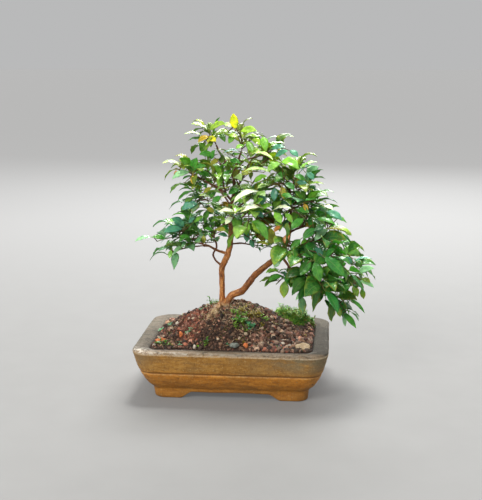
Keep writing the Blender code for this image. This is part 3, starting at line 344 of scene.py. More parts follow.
def loft(rings, in_triangles=False):
    """A closed skin over rings of equal count, flat at both ends; rings run counter-clockwise."""
    count = len(rings[0])
    points = [p for ring in rings for p in ring]
    faces = [tuple(reversed(range(count)))]
    for level in range(len(rings) - 1):
        low, high = level * count, (level + 1) * count
        for i in range(count):
            j = (i + 1) % count
            if in_triangles:
                faces += [(low + i, low + j, high + j), (low + i, high + j, high + i)]
            else:
                faces.append((low + i, low + j, high + j, high + i))
    last = (len(rings) - 1) * count
    faces.append(tuple(last + i for i in range(count)))
    return points, faces


def fan(ring):
    """Triangles that fill a ring of indices."""
    return [(ring[0], ring[i], ring[i + 1]) for i in range(1, len(ring) - 1)]


def foot_fan(ring):
    """The same triangles turned over, for the start of a tube."""
    return [(a, c, b) for a, b, c in fan(ring)]


def ring_grid(levels, count):
    """Indices of rings, those of each next corner, and the quads between one ring and the next."""
    index = np.arange(levels * count).reshape(levels, count)
    following = np.roll(index, -1, axis=1)
    quads = np.stack([index[:-1], following[:-1], following[1:], index[1:]], axis=-1).reshape(-1, 4)
    return index, following, quads


def corner_radius(inset):
    return POT_CORNER - CORNER_TIGHTENING * inset


def rounded_rectangle(inset, z, corner_steps, along_x, along_y):
    """The pot's plan at this inset: four arcs, with spare points along the sides."""
    half_x, half_y = POT_LENGTH / 2 - inset, POT_DEPTH / 2 - inset
    radius = corner_radius(inset)
    arcs = []
    for sign_x, sign_y, start in ((1, 1, 0), (-1, 1, 90), (-1, -1, 180), (1, -1, 270)):
        centre = (sign_x * (half_x - radius), sign_y * (half_y - radius))
        for step in range(corner_steps + 1):
            turn = math.radians(start + 90 * step / corner_steps)
            arcs.append((centre[0] + radius * math.cos(turn), centre[1] + radius * math.sin(turn), z))
    points = []
    for index, point in enumerate(arcs):
        points.append(point)
        if (index + 1) % (corner_steps + 1):
            continue
        following = arcs[(index + 1) % len(arcs)]
        spare = along_x if abs(following[0] - point[0]) > abs(following[1] - point[1]) else along_y
        for step in range(1, spare):
            share = step / spare
            points.append(tuple(a + (b - a) * share for a, b in zip(point, following)))
    return points


def tube(path, sides, grow=0.0):
    """Rings round a path of (x, y, z, radius); grow widens and lengthens it, for a margin."""
    centres = [Vector(p[:3]) for p in path]
    tangents = []
    for i, centre in enumerate(centres):
        before = centres[max(i - 1, 0)]
        after = centres[min(i + 1, len(centres) - 1)]
        tangents.append((after - before).normalized())
    if grow:
        centres[0] = centres[0] - tangents[0] * grow
        centres[-1] = centres[-1] + tangents[-1] * grow
    side = tangents[0].cross(Vector((0.31, 0.95, 0.05))).normalized()
    rings = []
    for centre, tangent, point in zip(centres, tangents, path):
        side = (side - tangent * side.dot(tangent)).normalized()
        other = tangent.cross(side)
        radius = point[3] + grow
        ring = []
        for i in range(sides):
            turn = 2 * math.pi * i / sides
            ring.append(centre + (side * math.cos(turn) + other * math.sin(turn)) * radius)
        rings.append(ring)
    return loft(rings)


def extent(points):
    """The lowest and the highest coordinates of the points."""
    low = [min(p[i] for p in points) for i in range(3)]
    return low, [max(p[i] for p in points) for i in range(3)]


class Crowd:
    """What already stands in the air, so that nothing new crosses it."""

    def __init__(self):
        self.members = []

    def add(self, points, faces, owner):
        self.members.append((*extent(points), BVHTree.FromPolygons(points, faces), owner))

    def meets(self, points, faces, passing=()):
        """Whether a trial shape crosses a member whose owner isn't let past."""
        low, high = extent(points)
        tree = None
        for their_low, their_high, other, owner in self.members:
            if owner in passing:
                continue
            if any(low[i] > their_high[i] or high[i] < their_low[i] for i in range(3)):
                continue
            tree = tree or BVHTree.FromPolygons(points, faces)
            if tree.overlap(other):
                return True
        return False


class Sprig:
    """A stem with shoots and leaves, grown as one closed skin from four-cornered rings."""

    def __init__(self):
        self.points = []
        self.quads = {}
        self.triangles = []

    def ring(self, corners):
        start = len(self.points)
        self.points += corners
        return tuple(range(start, start + 4))

    def skin(self, low, high):
        """Joins two rings with four quads, and returns them in order round the ring."""
        made = [(low[k], low[(k + 1) % 4], high[(k + 1) % 4], high[k]) for k in range(4)]
        for k, quad in enumerate(made):
            self.quads[quad] = k
        return made

    def state(self):
        return len(self.points), dict(self.quads), list(self.triangles)

    def go_back(self, state):
        count, self.quads, self.triangles = state
        del self.points[count:]

    def close_foot(self, ring):
        self.triangles += [(ring[2], ring[1], ring[0]), (ring[3], ring[2], ring[0])]

    def blade(self, low, leaf, grow=0.0):
        """Skins a leaf on from the ring low, up to its pointed tip."""
        for corners in leaf.rings(grow):
            high = self.ring(corners)
            self.skin(low, high)
            low = high
        self.points.append(leaf.midrib(1.0))
        last = len(self.points) - 1
        for k in range(4):
            self.triangles.append((low[k], low[(k + 1) % 4], last))

    def faces(self):
        """All triangles; opposite quads are split alike, so that a thin blade's faces never cross."""
        made = list(self.triangles)
        for (a, b, c, d), k in self.quads.items():
            made += [(a, b, c), (a, c, d)] if k % 2 == 0 else [(b, c, d), (b, d, a)]
        return made


def square_ring(centre, side, up, half):
    corners = ((1, 1), (-1, 1), (-1, -1), (1, -1))
    return [centre + side * (a * half) + up * (b * half) for a, b in corners]


def frame_of(direction, wish):
    """Side and up vectors across a direction, with up as near the wish as it can be."""
    up = wish - direction * wish.dot(direction)
    up = up.normalized() if up.length > 1e-4 else direction.orthogonal().normalized()
    return up.cross(direction), up


def turned_to(ring, points, corners):
    """The ring of indices, turned so that each lies nearest the corner of the same place."""
    def strain(turn):
        return sum((points[ring[(i + turn) % 4]] - corners[i]).length for i in range(4))
    best = min(range(4), key=strain)
    return tuple(ring[(i + best) % 4] for i in range(4))


def trial_mesh(rings, tip):
    """A closed trial shape over rings of four, pointed at its end."""
    points, faces = loft(rings)
    faces.pop()
    last = 4 * (len(rings) - 1)
    for k in range(4):
        faces.append((last + k, last + (k + 1) % 4, len(points)))
    return [Vector(p) for p in points] + [tip], faces


@dataclass
class Leaf:
    """Where one leaf starts, how its midrib runs, which way its face looks, and its size."""

    root: Vector
    start: Vector
    finish: Vector
    face_up: Vector
    length: float
    width: float
    habit: Habit

    def direction(self, t):
        return (self.start * (1 - t) + self.finish * t).normalized()

    def midrib(self, t):
        """A point on the midrib; t runs from 0 at the petiole's end to 1 at the tip."""
        at = self.root + self.start * self.habit.petiole
        for step in range(MIDRIB_STEPS):
            direction = self.direction(t * (step + 0.5) / MIDRIB_STEPS)
            at = at + direction * (self.length * t / MIDRIB_STEPS)
        return at

    def blade_ring(self, t, half_width, grow):
        """Right edge, midrib above, left edge and midrib below, at one place along the blade."""
        centre, direction = self.midrib(t), self.direction(t)
        side, up = frame_of(direction, self.face_up)
        half_width, half_thick = half_width + grow, self.habit.half_thick * (1.1 - 0.3 * t) + grow
        lift = up * (half_width * math.sin(LEAF_FOLD))
        reach = side * (half_width * math.cos(LEAF_FOLD))
        rib = up * half_thick
        return [centre + reach + lift, centre + rib, centre - reach + lift, centre - rib]

    def rings(self, grow=0.0):
        return [self.blade_ring(t, self.width / 2 * share, grow) for t, share in LEAF_STATIONS]

    def trial(self, grow):
        """The blade beyond its petiole, made a little larger."""
        neck = self.blade_ring(0.1, self.width * 0.2, grow * 0.5)
        return trial_mesh([neck] + self.rings(grow), self.midrib(1.0) + self.direction(1.0) * grow)

    def alone(self, root_corners, grow):
        """The leaf's closed skin by itself, from just off its twig."""
        sprig = Sprig()
        foot = sprig.ring([corner + self.start * 0.2 for corner in root_corners])
        sprig.close_foot(foot)
        sprig.blade(foot, self, grow)
        return sprig.points, sprig.faces()


def crosses_itself(points, faces):
    tree = BVHTree.FromPolygons(points, faces)
    return any(a < b and not set(faces[a]) & set(faces[b]) for a, b in tree.overlap(tree))


def outward(at):
    """Away from the tree's middle line, level."""
    away = Vector((at.x - 20.0, at.y, 0.0))
    return away.normalized() if away.length > 1.0 else Vector((0.0, -1.0, 0.0))


def hanging_share(at):
    """How far leaves here hang and face outwards: the low right-hand mass most, the crown least."""
    return 0.12 + 0.88 * smooth_step(48.0, 88.0, at.x) * smooth_step(248.0, 200.0, at.z)


def propose_leaf(root, along, side, size, rng, attempt, habit):
    """A leaf that leans forward along its twig, arches over, and turns its face up or out to the light."""
    hanging = hanging_share(root)
    spread = math.radians(rng.uniform(46, 74))
    start = along * math.cos(spread) + side * math.sin(spread) + Vector((0, 0, rng.uniform(0.0, 0.35)))
    start.normalize()
    droop = rng.uniform(0.25, 0.85) + hanging * rng.uniform(0.2, 0.7)
    drift = outward(root) * rng.uniform(0.0, 0.5)
    finish = (start + drift - Vector((0, 0, droop))).normalized()
    jitter = Vector((rng.uniform(-0.4, 0.4), rng.uniform(-0.4, 0.4), 0))
    tilt = rng.uniform(0.05, 0.75) * (1.0 - hanging) + rng.uniform(0.5, 1.1) * hanging
    face_up = Vector((0, 0, 0.85 - 0.25 * hanging)) + outward(root) * tilt + jitter
    length = habit.leaf * size * rng.uniform(0.78, 1.14) * (1.0 - 0.02 * attempt)
    width = length * habit.width_share * rng.uniform(0.9, 1.12)
    return Leaf(root, start, finish, face_up, length, width, habit)


def grow_leaf(sprig, quad, shoot, along, side, size, rng, crowd, leaves):
    """Grows a leaf from a side quad of a shoot, where one fits without crossing anything."""
    root = sum((sprig.points[i] for i in quad), Vector()) / 4
    for attempt in range(LEAF_TRIES):
        leaf = propose_leaf(root, along, side, size, rng, attempt, shoot.habit)
        if crowd.meets(*leaf.trial(shoot.habit.clearance)):
            continue
        low = turned_to(quad, sprig.points, leaf.rings()[0])
        points, faces = leaf.alone([sprig.points[i] for i in low], shoot.habit.clearance * 0.5)
        if crowd.meets(points, faces, (shoot.owner,)):
            continue
        state = sprig.state()
        del sprig.quads[quad]
        sprig.blade(low, leaf)
        if crosses_itself(sprig.points, sprig.faces()):
            sprig.go_back(state)
            continue
        crowd.add(points, faces, "leaf")
        leaves.append(leaf)
        return


class Shoot:
    """A curved shoot: its curve, its rings and the places where limbs may grow."""

    def __init__(self, owner, start, direction, end, half, events, habit):
        self.owner = owner
        self.span = (end - start).length
        self.curve = (start, start + direction * (self.span * 0.45), end)
        self.half = half
        self.events = events
        self.habit = habit
        middle = self.direction(0.5)
        bend = direction.cross(end - self.curve[1])
        self.normal = bend.normalized() if bend.length > 1e-3 else middle.orthogonal().normalized()
        side, _ = frame_of(middle, Vector((0, 0, 1)) if abs(middle.z) < 0.9 else outward(start))
        self.turn = (side.dot(self.normal), side.dot(self.normal.cross(middle)))

    def centre(self, t):
        p0, p1, p2 = self.curve
        return p0 * (1 - t) ** 2 + p1 * (2 * t * (1 - t)) + p2 * t * t

    def direction(self, t):
        p0, p1, p2 = self.curve
        return ((p1 - p0) * (1 - t) + (p2 - p1) * t).normalized()

    def frame(self, t):
        """Side and up vectors, level halfway along and carried without twist from there."""
        direction = self.direction(t)
        side = self.normal * self.turn[0] + self.normal.cross(direction) * self.turn[1]
        side.normalize()
        return side, direction.cross(side)

    def corners(self, t, grow=0.0):
        side, up = self.frame(t)
        return square_ring(self.centre(t), side, up, self.half * (1.0 - 0.3 * t) + grow)

    def stations(self):
        """Shares of the length where a ring stands: both edges of each event, and the end."""
        half_width = 1.15 * self.habit.twig / self.span
        edges = [at + sign * half_width for at in self.events for sign in (-1, 1)]
        return edges + [1.0]

    def trial(self, away):
        """The shoot made a little larger, from so many half widths out of its root."""
        first = away * self.habit.twig / self.span
        grow = self.habit.clearance
        stations = [first] + [t for t in self.stations() if t > first]
        rings = [self.corners(t, grow) for t in stations]
        return trial_mesh(rings, self.centre(1.0) + self.direction(1.0) * grow)


def grow_shoot(sprig, low, shoot):
    """Skins a shoot from the ring low; returns the side quads at each event, and its end ring."""
    low = turned_to(low, sprig.points, shoot.corners(0.02))
    sides = []
    for index, t in enumerate(shoot.stations()):
        high = sprig.ring(shoot.corners(t))
        quads = sprig.skin(low, high)
        if index % 2 == 1:
            sides.append(quads)
        low = high
    return sides, low


def pair_events(span, habit, first):
    """Shares of a shoot's length where its leaf pairs stand."""
    count = max(1, round(span * (1 - first) / habit.spacing))
    return [first + (0.94 - first) * (i + 0.5) / count for i in range(count)]


def fork_shoot(sprig, main, quads, fork, end, crowd):
    """A side shoot from the side of the main shoot that looks most towards its end."""
    centre, direction, habit = main.centre(fork), main.direction(fork), main.habit
    side, up = main.frame(fork)
    towards = (end - centre).normalized()
    looks = (up, -side, -up, side)
    pick = max(range(4), key=lambda k: looks[k].dot(towards))
    first = (looks[pick] * 0.75 + direction * 0.5 + towards * 0.4).normalized()
    start = centre + looks[pick] * main.half * (1.0 - 0.3 * fork)
    events = pair_events((end - start).length, habit, 0.24)
    shoot = Shoot((main.owner, fork), start, first, end, main.half * 0.85, events, habit)
    if crowd.meets(*shoot.trial(1.2), (main.owner,)) or crowd.meets(*shoot.trial(3.6)):
        return []
    state = sprig.state()
    del sprig.quads[quads[pick]]
    grown = grow_shoot(sprig, quads[pick], shoot)
    if crosses_itself(sprig.points, sprig.faces()):
        sprig.go_back(state)
        return []
    crowd.add(*shoot.trial(1.2), shoot.owner)
    return [(shoot, *grown)]


def dress_shoot(sprig, shoot, quads, end_ring, size, rng, crowd, leaves):
    """Leaf pairs along a shoot, and one leaf or a plain cap on its end."""
    steep = abs(shoot.direction(0.5).z) > 0.75
    for index, (t, sides) in enumerate(zip(shoot.events, quads)):
        side, up = shoot.frame(t)
        pairs = ((0, up), (2, -up)) if steep and index % 2 else ((3, side), (1, -side))
        growth = size * (1.0 - 0.10 * t)
        for k, outwards in pairs:
            if sides[k] in sprig.quads:
                grow_leaf(sprig, sides[k], shoot, shoot.direction(t), outwards, growth, rng, crowd, leaves)
    sprig.quads[end_ring] = 0
    ahead = shoot.direction(1.0)
    grow_leaf(sprig, end_ring, shoot, ahead, ahead, size * 0.88, rng, crowd, leaves)


def grow_shoots(owner, start, heading, end, side_ends, first, habit, crowd):
    """The bare shoots of one spray, as a skin and the places on it where leaves may grow."""
    sprig = Sprig()
    span = (end - start).length
    forks = [first + FORK_STEP * i for i in range(len(side_ends))]
    apart = 2.6 * habit.twig / span
    pairs = [t for t in pair_events(span, habit, first) if all(abs(t - fork) > apart for fork in forks)]
    main = Shoot(owner, start, heading, end, habit.twig, sorted(forks + pairs), habit)
    crowd.add(*main.trial(1.2), owner)
    foot = sprig.ring(main.corners(0.0))
    sprig.close_foot(foot)
    side_quads, end_ring = grow_shoot(sprig, foot, main)
    grown = [(main, side_quads, end_ring)]
    for fork, side_end in zip(forks, side_ends):
        grown += fork_shoot(sprig, main, side_quads[main.events.index(fork)], fork, side_end, crowd)
    return sprig, grown


def dress_sprays(bare, sizes, seed, crowd):
    """Leaves for every spray in turn; returns each one's leaves and its shoots."""
    dressed = {}
    for index, (name, (sprig, grown)) in enumerate(bare.items()):
        leaves = []
        rng = random.Random(seed + index)
        for shoot, quads, ring in grown:
            dress_shoot(sprig, shoot, quads, ring, sizes[name], rng, crowd, leaves)
        dressed[name] = leaves
    return dressed, {name: [shoot for shoot, _, _ in grown] for name, (_, grown) in bare.items()}


def standing_crowd():
    """The wood and the soil, which no leaf may cross."""
    crowd = Crowd()
    for path in [TRUNK, SECOND_LEADER] + list(BRANCHES.values()):
        points, faces = tube(path, BRANCH_SIDES, grow=0.55)
        crowd.add([Vector(p) for p in points], faces, "wood")
    points, faces = loft(soil_rings(lift=0.8), in_triangles=True)
    crowd.add([Vector(p) for p in points], faces, "soil")
    return crowd


def grow_canopy(crowd):
    """All sprays: first their shoots, then their leaves, each clear of what stands already."""
    tips = dict(BRANCHES, crown_left=TRUNK, leader_top=SECOND_LEADER)
    bare = {}
    for name, (end, side_ends, _) in SPRAYS.items():
        before, last = (Vector(point[:3]) for point in tips[name][-2:])
        heading = (last - before).normalized()
        start = last + heading * FIT_GAP
        ends = (Vector(end), [Vector(e) for e in side_ends])
        bare[name] = grow_shoots(name, start, heading, *ends, FIRST_PAIR, TREE_HABIT, crowd)
    return dress_sprays(bare, {name: spray[2] for name, spray in SPRAYS.items()}, 1000, crowd)


def weed_foot(name):
    x, y = WEEDS[name][0]
    return Vector((x, y, soil_height(x, y)))


def grow_weeds(crowd):
    bare = {}
    for name, (_, end, side_ends) in WEEDS.items():
        foot = weed_foot(name)
        start = foot - Vector((0, 0, WEED_DEPTH))
        ends = (foot + Vector(end), [foot + Vector(e) for e in side_ends])
        first = (WEED_DEPTH + 1.2) / (ends[0] - start).length
        bare[name] = grow_shoots(name, start, Vector((0, 0, 1)), *ends, first, WEED_HABIT, crowd)
    return dress_sprays(bare, {name: 1.0 for name in WEEDS}, 2000, crowd)


# Pieces and materials

pot_low, pot_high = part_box("pot")
PLACE = Vector(((pot_low.x + pot_high.x) / 2, (pot_low.y + pot_high.y) / 2, pot_low.z))


class Piece:
    """Points and faces of one piece, with the tone and the place that its material reads."""

    def __init__(self, name, material):
        self.name = name
        self.material = material
        self.points = []
        self.tones = []
        self.places = []
        self.faces = {3: [], 4: []}
        self.count = 0

    def add(self, points, faces, tone=(0.5, 0.5, 0.5, 1.0), place=(0.0, 0.0, 0.0, 0.0)):
        """Adds a shape; faces is one array or several, each of triangles or of quads."""
        points = np.asarray(points, float).reshape(-1, 3)
        self.points.append(points)
        self.tones.append(np.broadcast_to(np.asarray(tone, float), (len(points), 4)))
        self.places.append(np.broadcast_to(np.asarray(place, float), (len(points), 4)))
        for block in faces if isinstance(faces, (list, tuple)) else [faces]:
            block = np.asarray(block, np.int64)
            self.faces[block.shape[1]].append(block + self.count)
        self.count += len(points)

    def make(self, smooth=True):
        """Makes the mesh and puts it in the scene at the pot's place."""
        mesh = bpy.data.meshes.new(self.name)
        points = np.concatenate(self.points) * MM
        blocks = [np.concatenate(self.faces[size]) for size in (3, 4) if self.faces[size]]
        loops = np.concatenate([block.reshape(-1) for block in blocks])
        sizes = np.concatenate([np.full(len(block), block.shape[1]) for block in blocks])
        mesh.vertices.add(len(points))
        mesh.vertices.foreach_set("co", points.astype(np.float32).reshape(-1))
        mesh.loops.add(len(loops))
        mesh.loops.foreach_set("vertex_index", loops.astype(np.int32))
        mesh.polygons.add(len(sizes))
        mesh.polygons.foreach_set("loop_start", (np.cumsum(sizes) - sizes).astype(np.int32))
        mesh.update(calc_edges=True)
        mesh.validate()
        store(mesh, "tone", np.concatenate(self.tones))
        store(mesh, "place", np.concatenate(self.places))
        if smooth:
            mesh.shade_smooth()
        return show(self.name, mesh, self.material, PLACE)


def store(mesh, key, values):
    """Keeps four values at each point, for a material to read."""
    layer = mesh.attributes.new(key, "FLOAT_COLOR", "POINT")
    layer.data.foreach_set("color", values.astype(np.float32).reshape(-1))


def add_object(name, data, at=(0.0, 0.0, 0.0)):
    made = bpy.data.objects.new(name, data)
    made.location = at
    bpy.context.scene.collection.objects.link(made)
    return made


def show(name, mesh, material, at):
    """Puts a finished mesh in the scene as a piece of the object."""
    mesh.materials.clear()
    mesh.materials.append(material)
    made = add_object(name, mesh, at)
    bpy.context.view_layer.update()
    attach(made, "root")
    return made


class Graph:
    """A Principled material whose inputs are fed by nodes; positions are in millimetres."""

    def __init__(self, name, colour, roughness):
        self.material = bpy.data.materials.new(name)
        self.material.use_nodes = True
        self.tree = self.material.node_tree
        self.shader = self.tree.nodes["Principled BSDF"]
        self.shader.inputs["Base Color"].default_value = (*colour, 1.0)
        self.shader.inputs["Roughness"].default_value = roughness
        self.material.diffuse_color = (*colour, 1.0)

    def put(self, kind, inputs=(), **settings):
        """A new node with its settings, its inputs fed by name or number."""
        node = self.tree.nodes.new("ShaderNode" + kind)
        for key, value in settings.items():
            setattr(node, key, value)
        for key, value in dict(inputs).items():
            self.feed(node.inputs[key], value)
        return node

    def feed(self, socket, value):
        """Links another node's output to a socket, or sets its value."""
        if isinstance(value, bpy.types.NodeSocket):
            self.tree.links.new(value, socket)
        elif isinstance(value, tuple) and socket.type == "RGBA":
            socket.default_value = (*value, 1.0)
        else:
            socket.default_value = value

    def position(self, stretch=(1.0, 1.0, 1.0)):
        """Place in millimetres; a small stretch draws a pattern out along that axis."""
        coordinates = self.put("TexCoord").outputs["Object"]
        scaled = self.put("VectorMath", {0: coordinates}, operation="MULTIPLY")
        scaled.inputs[1].default_value = [s / MM for s in stretch]
        return scaled.outputs[0]

    def read(self, name):
        """The red, green, blue and alpha of a stored value, and its colour as a whole."""
        stored = self.put("Attribute", attribute_name=name)
        parts = self.put("SeparateColor", {"Color": stored.outputs["Color"]})
        return [parts.outputs[i] for i in range(3)] + [stored.outputs["Alpha"]], stored.outputs["Color"]

    def joined(self, x, y, z):
        return self.put("CombineXYZ", {0: x, 1: y, 2: z}).outputs[0]

    def split(self, vector):
        return self.put("SeparateXYZ", {0: vector}).outputs

    def noise(self, vector, scale, detail=3.0, roughness=0.55, distortion=0.0):
        inputs = {"Vector": vector, "Scale": scale, "Detail": detail}
        return self.put("TexNoise", dict(inputs, Roughness=roughness, Distortion=distortion)).outputs[0]

    def cells(self, vector, scale):
        return self.put("TexVoronoi", {"Vector": vector, "Scale": scale}).outputs["Distance"]

    def math(self, operation, a, b=0.0):
        return self.put("Math", {0: a, 1: b}, operation=operation).outputs[0]

    def times(self, first, *others):
        """The product of the values."""
        for other in others:
            first = self.math("MULTIPLY", first, other)
        return first

    def plus(self, first, *others):
        """The sum of the values."""
        for other in others:
            first = self.math("ADD", first, other)
        return first

    def between(self, value, low, high, to_low=0.0, to_high=1.0):
        """Maps low..high smoothly onto to_low..to_high."""
        inputs = {"Value": value, "From Min": low, "From Max": high, "To Min": to_low, "To Max": to_high}
        return self.put("MapRange", inputs, interpolation_type="SMOOTHSTEP").outputs[0]

    def mix(self, factor, a, b, blend="MIX"):
        inputs = {0: factor, 6: a, 7: b}
        return self.put("Mix", inputs, data_type="RGBA", blend_type=blend, clamp_factor=True).outputs[2]

    def shaded(self, colour, shade):
        """The colour multiplied by another."""
        return self.mix(1.0, colour, shade, "MULTIPLY")

    def tinted(self, colour, *layers):
        """The colour under layers of (value, from, to, most, tint), each laid on between from and to."""
        for value, low, high, most, tint in layers:
            colour = self.mix(self.between(value, low, high, 0.0, most), colour, tint)
        return colour

    def ramp(self, factor, *stops):
        """A colour for each value of the factor, through stops of (value, colour)."""
        node = self.put("ValToRGB", {"Fac": factor})
        bands = node.color_ramp.elements
        bands[0].position, bands[1].position = stops[0][0], stops[-1][0]
        bands[0].color, bands[1].color = (*stops[0][1], 1.0), (*stops[-1][1], 1.0)
        for at, colour in stops[1:-1]:
            bands.new(at).color = (*colour, 1.0)
        return node.outputs[0]

    def finish(self, colour, roughness, height=None, strength=0.5, depth=0.3):
        """Feeds the shader; height is in millimetres of depth for the bump."""
        self.feed(self.shader.inputs["Base Color"], colour)
        self.feed(self.shader.inputs["Roughness"], roughness)
        if height is not None:
            inputs = {"Height": height, "Strength": strength, "Distance": depth * MM}
            self.feed(self.shader.inputs["Normal"], self.put("Bump", inputs).outputs[0])
        return self.material


def as_shown(made):
    """A new mesh of the object as its modifiers leave it."""
    return bpy.data.meshes.new_from_object(made.evaluated_get(bpy.context.evaluated_depsgraph_get()))


def remeshed(name, source, voxel, smoothing):
    """A closed skin over the source mesh in fine even cells, smoothed so many times."""
    helper = add_object(name + "_helper", source)
    remesh = helper.modifiers.new("remesh", "REMESH")
    remesh.mode, remesh.voxel_size = "VOXEL", voxel * MM
    smooth = helper.modifiers.new("smooth", "SMOOTH")
    smooth.factor, smooth.iterations = 0.5, smoothing
    mesh = as_shown(helper)
    bpy.data.objects.remove(helper, do_unlink=True)
    mesh.name = name
    return mesh


def refined(name, node, voxel, material, smoothing, bumps):
    """A copy of a CAD node's skin, remeshed finely, smoothed, and roughened by (scale, height) bumps."""
    mesh = remeshed(name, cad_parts[node].data.copy(), voxel, smoothing)
    roughen(mesh, bumps)
    mesh.shade_smooth()
    return show(name, mesh, material, Vector())


def roughen(mesh, bumps, shares=None):
    """Moves each point along its normal by noise of each (size, height) in millimetres."""
    mesh.update()
    count = len(mesh.vertices)
    points, normals = np.empty(count * 3), np.empty(count * 3)
    mesh.vertices.foreach_get("co", points)
    mesh.vertex_normals.foreach_get("vector", normals)
    points, normals = points.reshape(-1, 3), normals.reshape(-1, 3)
    moved = np.zeros(count)
    for size, height in bumps:
        for i, point in enumerate(points / (size * MM)):
            moved[i] += noise.noise(Vector(point)) * height
    if shares is not None:
        moved *= shares
    points = points + normals * (moved * MM)[:, None]
    mesh.vertices.foreach_set("co", points.reshape(-1))
    mesh.update()


# The pot


def spaced(*stretches):
    """Shares of a side, in stretches of (from, to, count)."""
    return np.unique(np.concatenate([np.linspace(*stretch) for stretch in stretches]))


STEP_X = spaced((0, 0.5, 9), (0.5, 0.9, 20), (0.9, 1, 4))
STEP_Y = spaced((0, 0.32, 5), (0.32, 0.8, 18), (0.8, 1, 4))
OUTLINE_STEP = 1.6
OUTLINE_SOFTENING = 0.22
# Where the clay is left bare inside the rim, and where the wear of the rim begins
BARE_INSET = 17.9
RIM_WEAR_FROM = 57.0
DRAIN_SIDES = 40
CORNER_STEPS = 10


def arch_rise(across, half_span):
    """Height of the opening under the skirt at this distance from its middle."""
    share = smooth_step(0.0, 1.0, (half_span - abs(across)) / ARCH_SLOPE)
    return ARCH_HEIGHT * share


def fine_pot_ring(z, inset):
    """The pot's plan at one point of its outline, raised over the openings between the feet."""
    half_x, half_y = POT_LENGTH / 2 - inset, POT_DEPTH / 2 - inset
    radius = corner_radius(inset)
    flat_x, flat_y = half_x - radius, half_y - radius
    low_share = max(0.0, 1.0 - z / FLOOR_UNDERSIDE)
    shares_x = np.concatenate([STEP_X[::-1], -STEP_X[1:]])
    shares_y = np.concatenate([STEP_Y[::-1], -STEP_Y[1:]])
    turns = np.radians(90.0 * np.arange(1, CORNER_STEPS) / CORNER_STEPS)
    points = []
    for side in range(4):
        back = side in (0, 3)
        if side % 2 == 0:
            sign = 1 if back else -1
            for share in shares_y * -sign:
                y = flat_y * share
                points.append((half_x * sign, y, z + low_share * arch_rise(y, SIDE_ARCH_HALF)))
            centre, start = (flat_x * sign, flat_y * sign), 0 if back else math.pi
        else:
            sign = 1 if side == 1 else -1
            for share in shares_x * sign:
                x = flat_x * share
                points.append((x, half_y * sign, z + low_share * arch_rise(x, FRONT_ARCH_HALF)))
            centre, start = (-flat_x * sign, flat_y * sign), math.pi / 2 if sign > 0 else 1.5 * math.pi
        for turn in turns + start:
            points.append((centre[0] + radius * math.cos(turn), centre[1] + radius * math.sin(turn), z))
    return points


def fine_outline():
    """The pot's outline in short steps, its corners a little rounded."""
    corners = np.array(POT_OUTSIDE + POT_INSIDE)
    line = [corners[0]]
    for a, b in zip(corners, corners[1:]):
        count = max(1, math.ceil(np.linalg.norm(b - a) / OUTLINE_STEP))
        line += [a + (b - a) * (i + 1) / count for i in range(count)]
    line = np.array(line)
    kept = 1 - 2 * OUTLINE_SOFTENING
    line[1:-1] = line[1:-1] * kept + (line[:-2] + line[2:]) * OUTLINE_SOFTENING
    return line


def pot_wear(point):
    """How far the hand-made wall swells or is worn at a point, in millimetres."""
    x, y, z = point
    swell = 0.55 * noise.noise(Vector((x / 34, y / 34, z / 26)))
    swell += 0.16 * noise.noise(Vector((x / 7, y / 7, z / 7)))
    if z > RIM_WEAR_FROM:
        chips = max(noise_over(x, y, 11, 3.0) - 0.18, 0.0)
        swell += -0.9 * chips + 0.25 * noise.noise(Vector((x / 3.2, y / 3.2, z / 3.2)))
    return swell


def dress_pot():
    rings = np.array([fine_pot_ring(z, inset) for z, inset in fine_outline()])
    levels, count = rings.shape[:2]
    shape = Piece("glazed_pot", glaze_material())
    index, following, quads = ring_grid(levels, count)
    middle_low, middle_high = rings[0].mean(axis=0), rings[-1].mean(axis=0)
    low, high = levels * count, levels * count + 1
    fans = [np.stack([following[0], index[0], np.full(count, low)], axis=-1)]
    fans.append(np.stack([index[-1], following[-1], np.full(count, high)], axis=-1))
    points = np.concatenate([rings.reshape(-1, 3), [middle_low, middle_high]])
    shape.add(points, [quads, np.concatenate(fans)])
    pot = shape.make()
    mesh = pot.data
    mesh.update()
    normals = [tuple(v.vector) for v in mesh.vertex_normals]
    for vertex, normal in zip(mesh.vertices, normals):
        point = vertex.co / MM
        if point.z > 0.4:
            vertex.co += Vector(normal) * (pot_wear(point) * MM)
    drill_drains(pot)
    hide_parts("pot")


def drill_drains(pot):
    """Cuts the two round holes through the pot's floor."""
    cutters = []
    for x in (-DRAIN_X, DRAIN_X):
        turns = [2 * math.pi * i / DRAIN_SIDES for i in range(DRAIN_SIDES)]
        rings = []
        for z in (FLOOR_UNDERSIDE - 3, FLOOR_TOP + 3):
            rings.append([(x + DRAIN_RADIUS * math.cos(t), DRAIN_RADIUS * math.sin(t), z) for t in turns])
        points, faces = loft(rings)
        mesh = bpy.data.meshes.new("drain_cutter")
        mesh.from_pydata([tuple(c * MM for c in p) for p in points], [], faces)
        cutters.append(add_object("drain_cutter", mesh, PLACE))
    for cutter in cutters:
        cut = pot.modifiers.new("drain", "BOOLEAN")
        cut.operation, cut.solver, cut.object = "DIFFERENCE", "EXACT", cutter
    bpy.context.view_layer.update()
    result = as_shown(pot)
    pot.modifiers.clear()
    pot.data = result
    for cutter in cutters:
        bpy.data.objects.remove(cutter, do_unlink=True)


